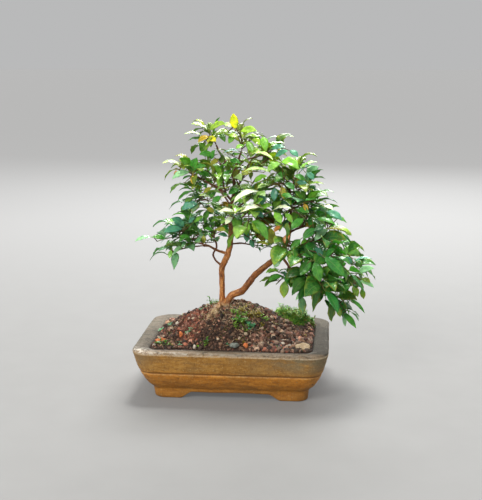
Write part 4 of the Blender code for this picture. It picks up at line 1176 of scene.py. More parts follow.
def glaze_colour(g, z, streaks, flecks, grain, speck):
    """Ochre in mottled streaks, flecks and drips, warmer under the groove and browner at the feet."""
    drips = g.noise(g.position((0.42, 0.42, 0.055)), 1.0, 5.0, 0.66)
    clouds = g.noise(g.position((0.028, 0.028, 0.05)), 1.0, 3.0, 0.55)
    glaze = g.ramp(streaks, (0.30, (0.225, 0.098, 0.016)), (0.45, (0.325, 0.148, 0.023)),
                   (0.56, (0.420, 0.204, 0.037)), (0.70, (0.520, 0.280, 0.066)))
    glaze = g.tinted(
        glaze,
        (flecks, 0.52, 0.66, 0.75, (0.470, 0.275, 0.085)),
        (flecks, 0.46, 0.33, 0.80, (0.145, 0.068, 0.018)),
        (clouds, 0.46, 0.62, 0.40, (0.205, 0.118, 0.040)),
        (drips, 0.55, 0.66, 0.40, (0.470, 0.260, 0.060)),
        (drips, 0.45, 0.34, 0.45, (0.160, 0.072, 0.016)),
    )
    glaze = g.mix(g.between(z, 44.0, 32.0), glaze, g.shaded(glaze, (1.38, 1.10, 0.68)))
    return g.tinted(
        glaze,
        (z, 30.0, 6.0, 0.45, (0.185, 0.086, 0.016)),
        (speck, 0.59, 0.68, 0.65, (0.55, 0.38, 0.160)),
        (grain, 0.60, 0.70, 0.45, (0.56, 0.40, 0.190)),
        (grain, 0.40, 0.30, 0.60, (0.110, 0.060, 0.022)),
    )


def stained(g, glaze, x, z, grain, speck):
    """The glaze with stains high up at the right and left, soot, painted shade in the groove and a painted
    highlight below it.
    """
    high = g.between(z, 33.0, 58.0)
    blotch = g.between(g.noise(g.position((0.045, 0.045, 0.09)), 1.0, 6.0, 0.7), 0.32, 0.56)
    right_stain = g.times(g.between(x, 10.0, 95.0), high, blotch)
    left_stain = g.times(g.between(x, -78.0, -118.0), high, 0.65, blotch)
    stain = g.math("MAXIMUM", right_stain, left_stain)
    stain_colour = g.ramp(grain, (0.32, (0.105, 0.086, 0.046)), (0.62, (0.235, 0.200, 0.120)))
    glaze = g.mix(g.times(stain, 0.85), glaze, stain_colour)
    soot = g.between(g.noise(g.position((0.022, 0.022, 0.34)), 1.0, 6.0, 0.70), 0.50, 0.66, 0.0, 0.45)
    glaze = g.mix(g.times(high, soot), glaze, (0.155, 0.096, 0.046))
    # painted shade: the groove's recess is darkened
    groove = g.times(g.between(z, 35.0, 35.8), g.between(z, 37.8, 37.0), 0.55)
    glaze = g.mix(groove, glaze, (0.120, 0.055, 0.016))
    # painted highlight: a lighter band along the edge just under the groove
    painted_highlight_edge = g.times(g.between(z, 33.4, 34.6), g.between(z, 36.0, 35.2))
    painted_highlight_edge = g.times(painted_highlight_edge, g.between(speck, 0.40, 0.62, 0.0, 0.6))
    return g.mix(painted_highlight_edge, glaze, (0.50, 0.31, 0.11)), stain


def clay_colour(g, at, grain):
    """Bare grey clay, darker at the right and lighter along the front, with stains and a pale crust."""
    x, y, z = g.split(at)
    clay = g.ramp(g.noise(at, 0.28, 6.0, 0.75), (0.32, (0.070, 0.053, 0.036)),
                  (0.50, (0.126, 0.101, 0.074)), (0.70, (0.225, 0.188, 0.145)))
    clay = g.tinted(clay, (g.noise(at, 0.035, 4.0), 0.42, 0.62, 0.6, (0.118, 0.102, 0.074)),
                    (x, 20.0, 100.0, 0.68, (0.055, 0.047, 0.033)))
    front = g.times(g.between(y, -76.0, -86.0, 0.0, 0.65), g.between(grain, 0.40, 0.60, 0.5, 1.0))
    clay = g.mix(front, clay, (0.390, 0.265, 0.155))
    stains = g.noise(at, 0.075, 5.0, 0.72, 0.6)
    clay = g.tinted(
        clay,
        (stains, 0.50, 0.40, 0.62, (0.052, 0.044, 0.031)),
        (stains, 0.58, 0.68, 0.40, (0.230, 0.205, 0.165)),
        (grain, 0.60, 0.70, 0.6, (0.33, 0.30, 0.250)),
        (grain, 0.36, 0.28, 0.5, (0.055, 0.046, 0.034)),
    )
    corner = g.times(g.between(x, -84.0, -108.0), g.between(y, -62.0, -86.0))
    front_edge = g.times(g.between(y, -86.0, -90.5), g.between(x, 40.0, -60.0, 0.12, 0.55))
    crust = g.between(g.noise(at, 0.16, 6.0, 0.75), 0.44, 0.56)
    crust = g.times(crust, g.math("MAXIMUM", corner, front_edge), g.between(z, 60.0, 62.0))
    return g.mix(crust, clay, (0.60, 0.55, 0.47))


def glaze_material():
    """Ochre glaze over clay that is bare at the rim, inside and underneath."""
    g = Graph("glazed_stoneware", (0.30, 0.155, 0.048), 0.5)
    at = g.position()
    x, y, z = g.split(at)
    upright = g.split(g.put("NewGeometry").outputs["Normal"])[2]
    streaks = g.noise(g.position((0.050, 0.050, 0.19)), 1.0, 8.0, 0.74, 0.6)
    flecks = g.noise(g.position((0.20, 0.20, 0.36)), 1.0, 7.0, 0.76, 0.4)
    grain, speck = g.noise(at, 0.8, 4.0, 0.7), g.noise(at, 0.42, 4.0, 0.7)
    glaze = glaze_colour(g, z, streaks, flecks, grain, speck)
    glaze, stain = stained(g, glaze, x, z, grain, speck)
    ragged = g.plus(z, g.times(g.math("SUBTRACT", flecks, 0.5), 3.0))
    rim = g.math("MAXIMUM", g.between(ragged, 62.2, 63.6), g.between(upright, 0.55, 0.85))
    rim = g.times(rim, g.between(z, 60.0, 61.5))
    in_x = g.math("LESS_THAN", g.math("ABSOLUTE", x), POT_LENGTH / 2 - BARE_INSET)
    in_y = g.math("LESS_THAN", g.math("ABSOLUTE", y), POT_DEPTH / 2 - BARE_INSET)
    inside = g.times(in_x, in_y, g.between(z, 23.5, 24.5))
    raw = g.math("MAXIMUM", g.math("MAXIMUM", rim, inside), g.between(upright, -0.72, -0.9))
    lip = g.times(g.between(ragged, 60.6, 61.6), g.between(ragged, 63.6, 62.6))
    glaze = g.mix(g.times(lip, g.between(speck, 0.38, 0.56, 0.20, 0.85)), glaze, (0.48, 0.38, 0.26))
    drip = g.between(g.noise(g.position((0.09, 0.09, 0.02)), 1.0, 3.0), 0.62, 0.70)
    drip = g.times(drip, g.between(z, 52.0, 60.0), g.between(x, -60.0, -95.0, 0.1, 0.7))
    glaze = g.mix(drip, glaze, (0.56, 0.40, 0.20))
    shine = g.between(flecks, 0.3, 0.7, 0.46, 0.66)
    shine = g.math("MAXIMUM", shine, g.times(g.math("MAXIMUM", raw, stain), 0.88))
    height = g.plus(g.times(flecks, 1.1), g.times(streaks, 1.3), g.times(grain, 0.5))
    height = g.plus(height, g.times(raw, g.noise(at, 0.9, 4.0, 0.7), 0.9))
    height = g.math("SUBTRACT", height, g.between(g.cells(at, 0.55), 0.0, 0.22, 0.5, 0.0))
    g.shader.inputs["Specular IOR Level"].default_value = 0.35
    return g.finish(g.mix(raw, glaze, clay_colour(g, at, grain)), shine, height, 0.8, 0.7)


def dress_screens():
    g = Graph("screen_plastic", (0.028, 0.030, 0.028), 0.55)
    dust = g.noise(g.position(), 0.4, 5.0, 0.7)
    colour = g.ramp(dust, (0.4, (0.022, 0.024, 0.022)), (0.7, (0.085, 0.062, 0.042)))
    g.finish(colour, g.between(dust, 0.4, 0.7, 0.42, 0.8), g.noise(g.position(), 1.6), 0.3, 0.1)
    for name in ("drain_screen_left", "drain_screen_right"):
        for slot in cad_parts[name].material_slots:
            slot.link = "OBJECT"
            slot.material = g.material


# The soil and what lies on it

RED_GRAINS = ((0.32, 0.105, 0.062), (0.42, 0.150, 0.090), (0.22, 0.072, 0.046), (0.40, 0.20, 0.135),
              (0.13, 0.048, 0.032))
BROWN_GRAINS = ((0.125, 0.062, 0.036), (0.19, 0.095, 0.055), (0.070, 0.036, 0.022), (0.25, 0.145, 0.090),
                (0.045, 0.028, 0.020))
PEBBLES = ((0.165, 0.078, 0.052), (0.115, 0.056, 0.038), (0.24, 0.125, 0.088), (0.060, 0.034, 0.025),
           (0.34, 0.225, 0.155), (0.075, 0.052, 0.038), (0.050, 0.034, 0.026))
PALE_STONES = ((0.55, 0.42, 0.29), (0.48, 0.36, 0.26), (0.60, 0.52, 0.42))
# Pale pebbles lying free: place and half size
PALE_PEBBLES = (
    (17.5, -43.4, 2.8), (48.7, -27.3, 2.9), (62.8, -32.2, 2.2), (92.0, 31.0, 3.0), (38.0, -52.0, 2.0),
    (-95.0, -60.0, 2.2), (-15.7, -57.4, 1.8), (-25.0, -4.5, 3.4), (24.0, -27.0, 2.4), (33.0, -55.0, 1.8),
    (-79.0, -18.0, 2.0), (80.0, -40.0, 2.6), (94.0, -20.0, 2.6), (71.0, -8.0, 2.3), (-45.0, -60.0, 1.8),
)
GRAINS_SMALL = 3400
GRAINS_MIDDLE = 3900
GRAINS_LARGE = 2100
FIBRES = 900
LITTER = 90
FIBRE_TONES = ((0.48, 0.31, 0.17), (0.26, 0.150, 0.080), (0.66, 0.51, 0.34))
FIBRE_STEPS = 6
SCRAP_TONES = ((0.30, 0.17, 0.07), (0.17, 0.09, 0.04), (0.42, 0.30, 0.15))
THREAD_SIDES = 4
SCALE_CUP = 0.18
# The grains' corner of the pot, and the wall that they keep off
GRAINS_CORNER = 16
GRAINS_INSET = 20.8
# The soil's body: its rings over the top, as shares of its edge, and its tones
SOIL_SHARES = np.linspace(0.98, 0.01, 44)
SOIL_TONE = np.array((0.040, 0.023, 0.015))
SOIL_REDDER = np.array((0.060, 0.012, 0.006))
# Colour ramp and roughness of each kind of stone
STONE_LOOKS = {
    "beige_stone": (
        ((0.3, (0.40, 0.275, 0.155)), (0.5, (0.60, 0.450, 0.285)), (0.7, (0.72, 0.60, 0.42))), 0.85),
    "grey_pebble": (
        ((0.3, (0.115, 0.130, 0.110)), (0.5, (0.20, 0.220, 0.190)), (0.7, (0.32, 0.34, 0.30))), 0.7),
    "brick": (
        ((0.3, (0.42, 0.100, 0.030)), (0.5, (0.70, 0.20, 0.060)), (0.7, (0.80, 0.33, 0.14))), 0.92),
}


def ball(subdivisions):
    """Points and triangles of a small round ball of radius one."""
    mesh = bmesh.new()
    bmesh.ops.create_icosphere(mesh, subdivisions=subdivisions, radius=1.0)
    points = np.array([v.co for v in mesh.verts])
    faces = np.array([[v.index for v in face.verts] for face in mesh.faces])
    mesh.free()
    return points, faces


def random_turns(rng, count):
    """So many random rotation matrices."""
    quats = rng.normal(size=(count, 4))
    w, x, y, z = (quats / np.linalg.norm(quats, axis=1)[:, None]).T
    rows = [1 - 2 * (y * y + z * z), 2 * (x * y - z * w), 2 * (x * z + y * w),
            2 * (x * y + z * w), 1 - 2 * (x * x + z * z), 2 * (y * z - x * w),
            2 * (x * z - y * w), 2 * (y * z + x * w), 1 - 2 * (x * x + y * y)]
    return np.stack(rows, axis=-1).reshape(count, 3, 3)


def add_grains(piece, centres, sizes, colours, rng, subdivisions, rough):
    """Irregular grains at the centres; sizes are half lengths along three axes."""
    points, faces = ball(subdivisions)
    count = len(centres)
    shapes = points[None] * (1.0 + rough * rng.uniform(-1, 1, size=(count, len(points), 1)))
    shapes = shapes * sizes[:, None, :]
    shapes = np.einsum("nij,nkj->nki", random_turns(rng, count), shapes) + centres[:, None, :]
    offsets = (np.arange(count) * len(points))[:, None, None]
    tones = np.concatenate([colours, rng.uniform(0, 1, size=(count, 1))], axis=1)
    piece.add(shapes, (faces[None] + offsets).reshape(-1, 3), np.repeat(tones, len(points), axis=0))


def soil_share(x, y):
    """How red the soil is here, and how pebbly."""
    patch = noise_over(x, y, 22, 9.0)
    away = math.hypot((x + 49.0) / 22.0, (y + 20.0) / 30.0) + 0.35 * patch
    red = 0.12 + 0.88 * smooth_step(1.25, 0.75, away)
    at_left = 0.5 * smooth_step(-30.0, -60.0, x) * (1.0 - 0.7 * red)
    return red, smooth_step(14.0, 40.0, x + 14 * patch) + at_left


def on_soil(rng, margin=1.0):
    """A random place on the soil inside the pot's wall."""
    half_x, half_y = POT_LENGTH / 2 - GRAINS_INSET - margin, POT_DEPTH / 2 - GRAINS_INSET - margin
    while True:
        x, y = rng.uniform(-half_x, half_x), rng.uniform(-half_y, half_y)
        over_x, over_y = abs(x) - half_x + GRAINS_CORNER, abs(y) - half_y + GRAINS_CORNER
        if over_x < 0 or over_y < 0 or math.hypot(over_x, over_y) < GRAINS_CORNER:
            return x, y


def on_stone(x, y):
    """Whether a placed stone or chip lies here."""
    for (stone_x, stone_y), halves, turn, _ in STONES.values():
        along = (x - stone_x) * math.cos(turn) + (y - stone_y) * math.sin(turn)
        across = (y - stone_y) * math.cos(turn) - (x - stone_x) * math.sin(turn)
        if math.hypot(along / (halves[0] + 0.6), across / (halves[1] + 0.6)) < 1.0:
            return True
    return False


def under_moss(x, y):
    share_x, share_y = (x - MOSS_CENTRE[0]) / MOSS_HALF_SIZES[0], (y - MOSS_CENTRE[1]) / MOSS_HALF_SIZES[1]
    return math.hypot(share_x, share_y) < 0.9


def grain_material():
    """Earthy grains in their own tones, mottled and a little dusty."""
    g = Graph("planting_mix", (0.17, 0.095, 0.06), 0.92)
    (_, _, _, chance), tone = g.read("tone")
    at = g.position()
    mottle = g.noise(at, 0.9, 4.0, 0.7)
    shade = g.ramp(mottle, (0.30, (0.55, 0.52, 0.50)), (0.50, (1.0, 1.0, 1.0)), (0.72, (1.45, 1.40, 1.35)))
    dust = (g.noise(at, 0.25, 3.0), 0.56, 0.74, 0.22, (0.22, 0.145, 0.090))
    colour = g.tinted(g.shaded(tone, shade), dust)
    return g.finish(colour, g.between(chance, 0.0, 1.0, 0.78, 0.98), g.noise(at, 1.6, 4.0, 0.7), 0.8, 0.35)


def crumbled_height(x, y):
    """Height of the soil's body, a little under the grains."""
    crumb = 0.9 * noise_over(x, y, 2.6, 1.0) + 0.5 * noise_over(x, y, 1.2, 4.0)
    return soil_height(x, y) + crumb - 0.5


def dress_soil(grains):
    """The soil's body: its finely crumbled top between the walls, with a flat bottom over the screens."""
    rings = []
    for z in (FLOOR_TOP + 2.4, 25.0, 40.0, 60.5, SOIL_EDGE - 0.8):
        inset = wall_inset(z) + 2 * FIT_GAP
        rings.append(rounded_rectangle(inset, z, corner_steps=8, along_x=44, along_y=30))
    outer = rings[-1]
    for share in SOIL_SHARES:
        ring = []
        for x, y, _ in outer:
            x, y = MOUND_CENTRE_X + (x - MOUND_CENTRE_X) * share, y * share
            ring.append((x, y, crumbled_height(x, y)))
        rings.append(ring)
    points, faces = loft(rings)
    tones = np.empty((len(points), 4))
    for i, (x, y, _) in enumerate(points):
        tones[i, :3] = SOIL_TONE + soil_share(x, y)[0] * SOIL_REDDER
    tones[:, :3] *= np.random.default_rng(5).uniform(0.7, 1.3, size=(len(points), 1))
    tones[:, 3] = 0.9
    piece = Piece("planting_mix", grains)
    piece.add(points, [faces[1:-1], fan(faces[0]) + fan(faces[-1])], tones)
    soil = piece.make()
    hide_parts("soil")


def strew(piece, count, half_sizes, rough, rng, large=False):
    """Strews grains over the soil, none on a stone, few under the moss, and large ones where it is pebbly."""
    centres, sizes, colours = [], [], []
    for _ in range(count):
        x, y = on_soil(rng)
        red, pebbly = soil_share(x, y)
        if large and rng.uniform() > 0.25 + 0.75 * pebbly:
            continue
        if under_moss(x, y) and rng.uniform() < 0.8 or on_stone(x, y):
            continue
        if rng.uniform() < red:
            palette = RED_GRAINS
        else:
            palette = PEBBLES if rng.uniform() < 0.25 + 0.6 * pebbly else BROWN_GRAINS
        size = rng.uniform(*half_sizes) * (0.85 + 0.25 * pebbly)
        halves = (rng.uniform(0.85, 1.25), rng.uniform(0.8, 1.05), rng.uniform(0.65, 0.95))
        sizes.append(size * np.array(halves))
        colour = np.array(palette[rng.integers(len(palette))])
        colour = colour * min(math.exp(rng.normal(-0.08, 0.48)), 2.0)
        colour *= 0.84 + 0.16 * smooth_step(-20.0, 30.0, x)
        if large and rng.uniform() < 0.05:
            colour = np.array(PALE_STONES[rng.integers(len(PALE_STONES))]) * rng.uniform(0.8, 1.1)
        centres.append((x, y, soil_height(x, y) + size * rng.uniform(-0.15, 0.55)))
        colours.append(colour)
    fineness = 2 if large else 1
    add_grains(piece, np.array(centres), np.array(sizes), np.array(colours), rng, fineness, rough)


def lay_pale_pebbles(piece, rng):
    """The pale pebbles of the table, smoother than the strewn ones."""
    centres = np.array([(x, y, soil_height(x, y) + size * 0.45) for x, y, size in PALE_PEBBLES])
    sizes = np.array([size * np.array((1.1, 0.95, 0.8)) for _, _, size in PALE_PEBBLES])
    colours = np.array([PALE_STONES[i % 3] for i in range(len(PALE_PEBBLES))])
    colours = colours * rng.uniform(0.75, 1.1, (len(PALE_PEBBLES), 1))
    add_grains(piece, centres, sizes, colours, rng, 2, 0.10)


def dress_grains(grains):
    rng = np.random.default_rng(11)
    small = Piece("soil_crumbs", grains)
    large = Piece("soil_pebbles", grains)
    strew(small, GRAINS_SMALL, (0.45, 0.95), 0.32, rng)
    strew(small, GRAINS_MIDDLE, (1.0, 2.2), 0.34, rng)
    strew(large, GRAINS_LARGE, (1.6, 3.4), 0.19, rng, large=True)
    lay_pale_pebbles(large, rng)
    for piece in (small, large):
        piece.make(smooth=piece is large)


def thread(points, radius):
    """A thin closed strand through the points, as points and quads with triangle caps."""
    path = [(*p, radius * (1.0 - 0.4 * i / len(points))) for i, p in enumerate(points)]
    made, faces = tube(path, THREAD_SIDES)
    return [tuple(p) for p in made], [faces[1:-1], fan(faces[0]) + fan(faces[-1])]


def add_fibre(piece, index, rng):
    """A wandering strand just above the soil; two of three lie near the trunk."""
    spread = 26 if index % 3 else 60
    x, y = rng.normal(2, spread), rng.normal(-10, spread * 0.62)
    if abs(x) > 92 or abs(y) > 66:
        return
    heading = rng.uniform(0, 2 * math.pi)
    reach = rng.uniform(3.5, 11)
    points = []
    for _ in range(FIBRE_STEPS):
        heading += rng.uniform(-0.55, 0.55)
        x, y = x + math.cos(heading) * reach / FIBRE_STEPS, y + math.sin(heading) * reach / FIBRE_STEPS
        lift = 0.5 + rng.uniform(0.0, 1.3)
        points.append((x, y, soil_height(x, y) + lift))
    tone = np.array(FIBRE_TONES[index % 3]) * rng.uniform(0.6, 1.25)
    piece.add(*thread(points, rng.uniform(0.18, 0.42)), tone=(*tone, 0.6))


def add_scrap(piece, rng):
    """A scrap of an old leaf, lying nearly flat."""
    x, y = on_soil(rng, 3.0)
    size = rng.uniform(1.6, 3.4)
    root = (x, y, soil_height(x, y) + 1.1)
    along = (rng.uniform(-1, 1), rng.uniform(-1, 1), rng.uniform(-0.15, 0.3))
    tone = SCRAP_TONES[rng.integers(len(SCRAP_TONES))]
    add_scale(piece, root, along, (0.1, 0.1, 1.0), size * 2, size, tone)


def dress_litter(grains):
    """Fine roots, fibres and old leaf scraps on the soil, the most of them round the trunk."""
    rng = np.random.default_rng(23)
    piece = Piece("fibres_and_litter", grains)
    for index in range(FIBRES):
        add_fibre(piece, index, rng)
    for _ in range(LITTER):
        add_scrap(piece, rng)
    piece.make()


def add_scales(piece, roots, along, up, lengths, widths, colours):
    """Tiny closed leaf scales: a cupped four-cornered blade with a raised back."""
    along = along / np.linalg.norm(along, axis=1)[:, None]
    side = np.cross(along, up)
    side = side / np.maximum(np.linalg.norm(side, axis=1), 1e-6)[:, None]
    up = np.cross(side, along)
    l, w = lengths[:, None], widths[:, None] / 2
    middle = roots + along * l * 0.5
    corners = np.stack([
        roots,
        middle + side * w + up * l * SCALE_CUP,
        middle + up * l * 0.07,
        middle - side * w + up * l * SCALE_CUP,
        roots + along * l,
        middle - up * l * 0.03,
    ], axis=1)
    faces = np.array([(0, 1, 2), (0, 2, 3), (1, 4, 2), (2, 4, 3), (0, 5, 1), (0, 3, 5), (1, 5, 4), (5, 3, 4)])
    count = len(roots)
    faces = (faces[None] + (np.arange(count) * 6)[:, None, None]).reshape(-1, 3)
    tones = np.concatenate([colours, np.full((count, 1), 0.5)], axis=1)
    piece.add(corners, faces, np.repeat(tones, 6, axis=0))


def add_scale(piece, root, along, up, length, width, colour):
    """One scale by itself."""
    add_scales(piece, *(np.array([value]) for value in (root, along, up, length, width, colour)))


def stone_material(name, stops, roughness):
    """Stone mottled through the stops of its colour ramp, with paler spots."""
    g = Graph(name, stops[1][1], roughness)
    at = g.position()
    colour = g.ramp(g.noise(at, 0.5, 6.0, 0.7), *stops)
    pale = g.between(g.noise(at, 1.3, 3.0, 0.6), 0.60, 0.75, 0.0, 0.4)
    colour = g.mix(pale, colour, tuple(min(1.0, c * 1.6) for c in stops[-1][1]))
    shine = g.between(pale, 0.0, 0.4, roughness, roughness * 0.9)
    return g.finish(colour, shine, g.noise(at, 1.0, 6.0, 0.75), 0.8, 0.35)


def dress_stones():
    looks = {kind: stone_material(kind, stops, rough) for kind, (stops, rough) in STONE_LOOKS.items()}
    for name in STONES:
        look = looks[STONES[name][3]]
        stone = refined(name + "_rough", name, 0.42, look, 3, ((3.2, 0.55), (1.2, 0.22)))
        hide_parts(name)


# Moss and seedlings

MOSS_SCALES = 6800
MOSS_SHOOTS = 150
MOSS_BITS = 2600
# Small plants: place, height, number of stalks, leaf length and tint
SEEDLINGS = (
    (3, -22, 7, 10, 3.6, "fresh"), (12, -34, 7, 7, 3.6, "fresh"), (5, -41, 5, 6, 3.4, "fresh"),
    (13, -22, 6, 9, 3.6, "fresh"), (20, -20, 7, 12, 4.0, "dry"), (27, -14, 7, 12, 4.0, "dry"),
    (24, -33, 5, 5, 5.6, "teal"), (18, -30, 5, 5, 4.6, "teal"), (16, -40, 5, 5, 4.0, "fresh"),
    (37, -14, 7, 9, 4.0, "fresh"), (31, -8, 6, 8, 3.6, "dry"), (10, -15, 6, 8, 3.8, "dry"),
    (36, -24, 5, 4, 3.4, "dry"), (12, -52, 4, 5, 3.0, "dry"), (-56, -38, 4, 3, 5.0, "teal"),
    (-62, -58, 4, 4, 4.0, "teal"), (-85, 3, 4, 3, 4.6, "teal"), (-97, 5, 4, 3, 5.4, "teal"),
    (-77, -60, 4, 6, 3.2, "fresh"), (-86, -60, 4, 5, 3.2, "fresh"), (-38, -62, 4, 5, 3.2, "fresh"),
    (-30, -62, 4, 4, 3.2, "fresh"), (-26, 6, 7, 6, 3.6, "fresh"), (-20, 10, 6, 5, 3.4, "fresh"),
    (-44, 2, 4, 4, 3.0, "teal"), (0, -64, 3, 3, 3.2, "teal"), (44, -40, 4, 4, 2.4, "dry"),
    (58, -56, 4, 4, 2.6, "fresh"), (50, -12, 4, 4, 2.6, "dry"), (-70, 26, 4, 4, 3.0, "fresh"),
    (-10, 34, 5, 5, 3.0, "fresh"), (20, 44, 5, 6, 3.0, "fresh"), (-50, 46, 4, 5, 3.0, "dry"),
    (-86, 40, 4, 5, 3.2, "fresh"), (48, 56, 4, 5, 3.0, "dry"), (2, 62, 4, 4, 3.2, "fresh"),
    (88, -4, 4, 4, 2.6, "dry"),
)
TINTS = {"fresh": (0.340, 0.590, 0.080), "teal": (0.210, 0.580, 0.330), "dry": (0.470, 0.370, 0.060)}


def leaflet_material():
    """Moss and seedlings: soft small leaves in their own tones."""
    g = Graph("leaflets", (0.16, 0.30, 0.05), 0.55)
    _, tone = g.read("tone")
    at = g.position()
    shade = g.ramp(g.noise(at, 1.2, 3.0), (0.3, (0.7, 0.75, 0.6)), (0.7, (1.25, 1.2, 1.2)))
    colour = g.shaded(tone, shade)
    g.finish(colour, g.between(g.noise(at, 2.0), 0.3, 0.7, 0.45, 0.70), g.noise(at, 3.0), 0.4, 0.1)
    add_glow(g, colour, 0.25)
    return g.material


def add_glow(g, colour, share):
    """Lets light through a thin leaf."""
    through = g.put("BsdfTranslucent", {"Color": g.shaded(colour, (1.25, 1.35, 0.6))})
    both = g.put("MixShader", {0: share, 1: g.shader.outputs[0], 2: through.outputs[0]})
    out = next(node for node in g.tree.nodes if node.type == "OUTPUT_MATERIAL")
    g.feed(out.inputs["Surface"], both.outputs[0])


def green(rng, dry):
    """A random small-leaf green, dry in this share of cases and yellowed in a quarter."""
    pick = rng.uniform()
    if pick < dry:
        return np.array((0.34, 0.25, 0.06)) * rng.uniform(0.6, 1.2)
    if pick < dry + 0.25:
        return np.array((0.36, 0.52, 0.07)) * rng.uniform(0.6, 1.15)
    return np.array((0.150, 0.390, 0.050)) * rng.uniform(0.45, 1.5)


def moss_bed_material():
    g = Graph("moss_bed", (0.08, 0.13, 0.03), 0.95)
    at = g.position()
    colour = g.ramp(g.noise(at, 0.55, 5.0, 0.7), (0.35, (0.040, 0.050, 0.018)),
                    (0.55, (0.085, 0.150, 0.030)), (0.72, (0.16, 0.26, 0.05)))
    shine = g.between(g.noise(at, 2.0), 0.3, 0.7, 0.85, 1.0)
    return g.finish(colour, shine, g.noise(at, 1.4, 5.0, 0.75), 1.0, 0.8)


def dress_moss(leaflets):
    """A rough cushion set with tiny leaves and short shoots, drier towards its right end."""
    cushion = refined("moss_cushion", "moss_patch", 0.8, moss_bed_material(), 2, ((4.0, 1.1), (1.6, 0.7)))
    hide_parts("moss_patch")
    rng = np.random.default_rng(47)
    piece = Piece("moss_leaves", leaflets)
    spots = [p for p in cushion.data.polygons if p.normal.z > 0.15]
    picks = rng.integers(len(spots), size=MOSS_SCALES)
    roots = np.array([spots[i].center for i in picks]) / MM - np.array(PLACE) / MM
    roots += rng.normal(0, 0.3, size=roots.shape)
    normals = np.array([spots[i].normal for i in picks])
    along = normals * 0.45 + rng.normal(0, 0.75, size=roots.shape) + np.array((0, 0, 0.15))
    up = np.array((0, 0, 1.0)) + rng.normal(0, 0.3, size=roots.shape)
    lengths = rng.uniform(1.8, 4.4, size=MOSS_SCALES)
    dryness = [0.08 + 0.5 * smooth_step(12.0, 24.0, root[0] - MOSS_CENTRE[0]) for root in roots]
    colours = np.array([green(rng, dry) for dry in dryness])
    add_scales(piece, roots, along, up, lengths, lengths * rng.uniform(0.45, 0.70, MOSS_SCALES), colours)
    for _ in range(MOSS_SHOOTS):
        root = roots[rng.integers(len(roots))] - np.array((0, 0, 1.0))
        height = rng.uniform(4.0, 11.0)
        grow_stalk(piece, root, height, rng, 3.6, pairs=int(rng.integers(3, 6)))
    piece.make(smooth=False)


def grow_stalk(piece, root, height, rng, leaf, pairs, lean=0.35, colour=None):
    """A thin upright shoot with pairs of tiny leaves."""
    tilt = np.array((rng.normal(0, lean), rng.normal(0, lean), 1.0))
    bend = np.array((rng.normal(0, lean), rng.normal(0, lean), 0.0)) * 0.6
    points = [root + (tilt * s + bend * s * s) * height for s in np.linspace(0, 1, 5)]
    colour = green(rng, 0.05) if colour is None else colour
    piece.add(*thread([tuple(p) for p in points], 0.2), tone=(*(colour * 0.8), 0.5))
    turn = rng.uniform(0, math.pi)
    for pair in range(pairs):
        share = 0.35 + 0.65 * (pair + 1) / pairs
        base = root + (tilt * share + bend * share * share) * height
        turn += math.pi / 2 + rng.uniform(-0.3, 0.3)
        for side in (0, math.pi):
            out = np.array((math.cos(turn + side), math.sin(turn + side), rng.uniform(0.15, 0.7)))
            size = leaf * rng.uniform(0.75, 1.2) * (1.15 - 0.4 * share)
            tone = colour * rng.uniform(0.8, 1.25)
            add_scale(piece, base, out, (0.0, 0.0, 1.0), size, size * 0.62, tone)


def strew_moss(piece, rng):
    """Loose bits of moss, thick in front of the trunk at the right and in patches elsewhere."""
    roots, colours = [], []
    while len(roots) < MOSS_BITS:
        x, y = on_soil(rng, 2.0)
        patch = max(0.0, noise_over(x, y, 15, 2.0) - 0.12) * 0.9
        centre = smooth_step(34.0, 10.0, math.hypot(x - 22, (y + 18) * 1.2)) * 0.55
        if rng.uniform() > patch + centre:
            continue
        roots.append((x, y, soil_height(x, y) + rng.uniform(0.2, 1.2)))
        colours.append(green(rng, 0.25) * rng.uniform(0.55, 1.0))
    roots, colours = np.array(roots), np.array(colours)
    along = rng.normal(0, 0.7, size=roots.shape) + np.array((0, 0, 0.8))
    up = np.array((0, 0, 1.0)) + rng.normal(0, 0.4, size=roots.shape)
    lengths = rng.uniform(0.9, 2.0, size=MOSS_BITS)
    add_scales(piece, roots, along, up, lengths, lengths * 0.5, colours)


def dress_seedlings(leaflets):
    """Seedlings and bits of moss too small for solids, scattered on the soil."""
    rng = np.random.default_rng(83)
    piece = Piece("seedlings", leaflets)
    for x, y, height, stalks, leaf, tint in SEEDLINGS:
        for _ in range(stalks):
            foot_x, foot_y = x + rng.normal(0, 2.4), y + rng.normal(0, 2.0)
            root = np.array((foot_x, foot_y, soil_height(foot_x, foot_y) - 0.6))
            colour = np.array(TINTS[tint]) * rng.uniform(0.6, 1.35)
            tall = height * rng.uniform(0.5, 1.0)
            grow_stalk(piece, root, tall, rng, leaf, pairs=2, lean=0.4, colour=colour)
    strew_moss(piece, rng)
    piece.make(smooth=False)


# The wood

WOOD_VOXEL = 0.62
PATH_STEP = 1.5


def smooth_path(path, step=PATH_STEP):
    """Points (x, y, z, radius) close together on a smooth curve through the path's points."""
    knots = [np.array(p, float) for p in path]
    knots = [2 * knots[0] - knots[1]] + knots + [2 * knots[-1] - knots[-2]]
    made = []
    for a, b, c, d in zip(knots, knots[1:], knots[2:], knots[3:]):
        count = max(2, math.ceil(np.linalg.norm((c - b)[:3]) / step))
        for i in range(count):
            t = i / count
            square = (2 * a - 5 * b + 4 * c - d) * t * t
            made.append((2 * b + (c - a) * t + square + (3 * b - a - 3 * c + d) * t ** 3) / 2)
    made.append(knots[-2])
    return made


def wood_paths():
    return [smooth_path(path) for path in [TRUNK, SECOND_LEADER] + list(ROOTS) + list(BRANCHES.values())]


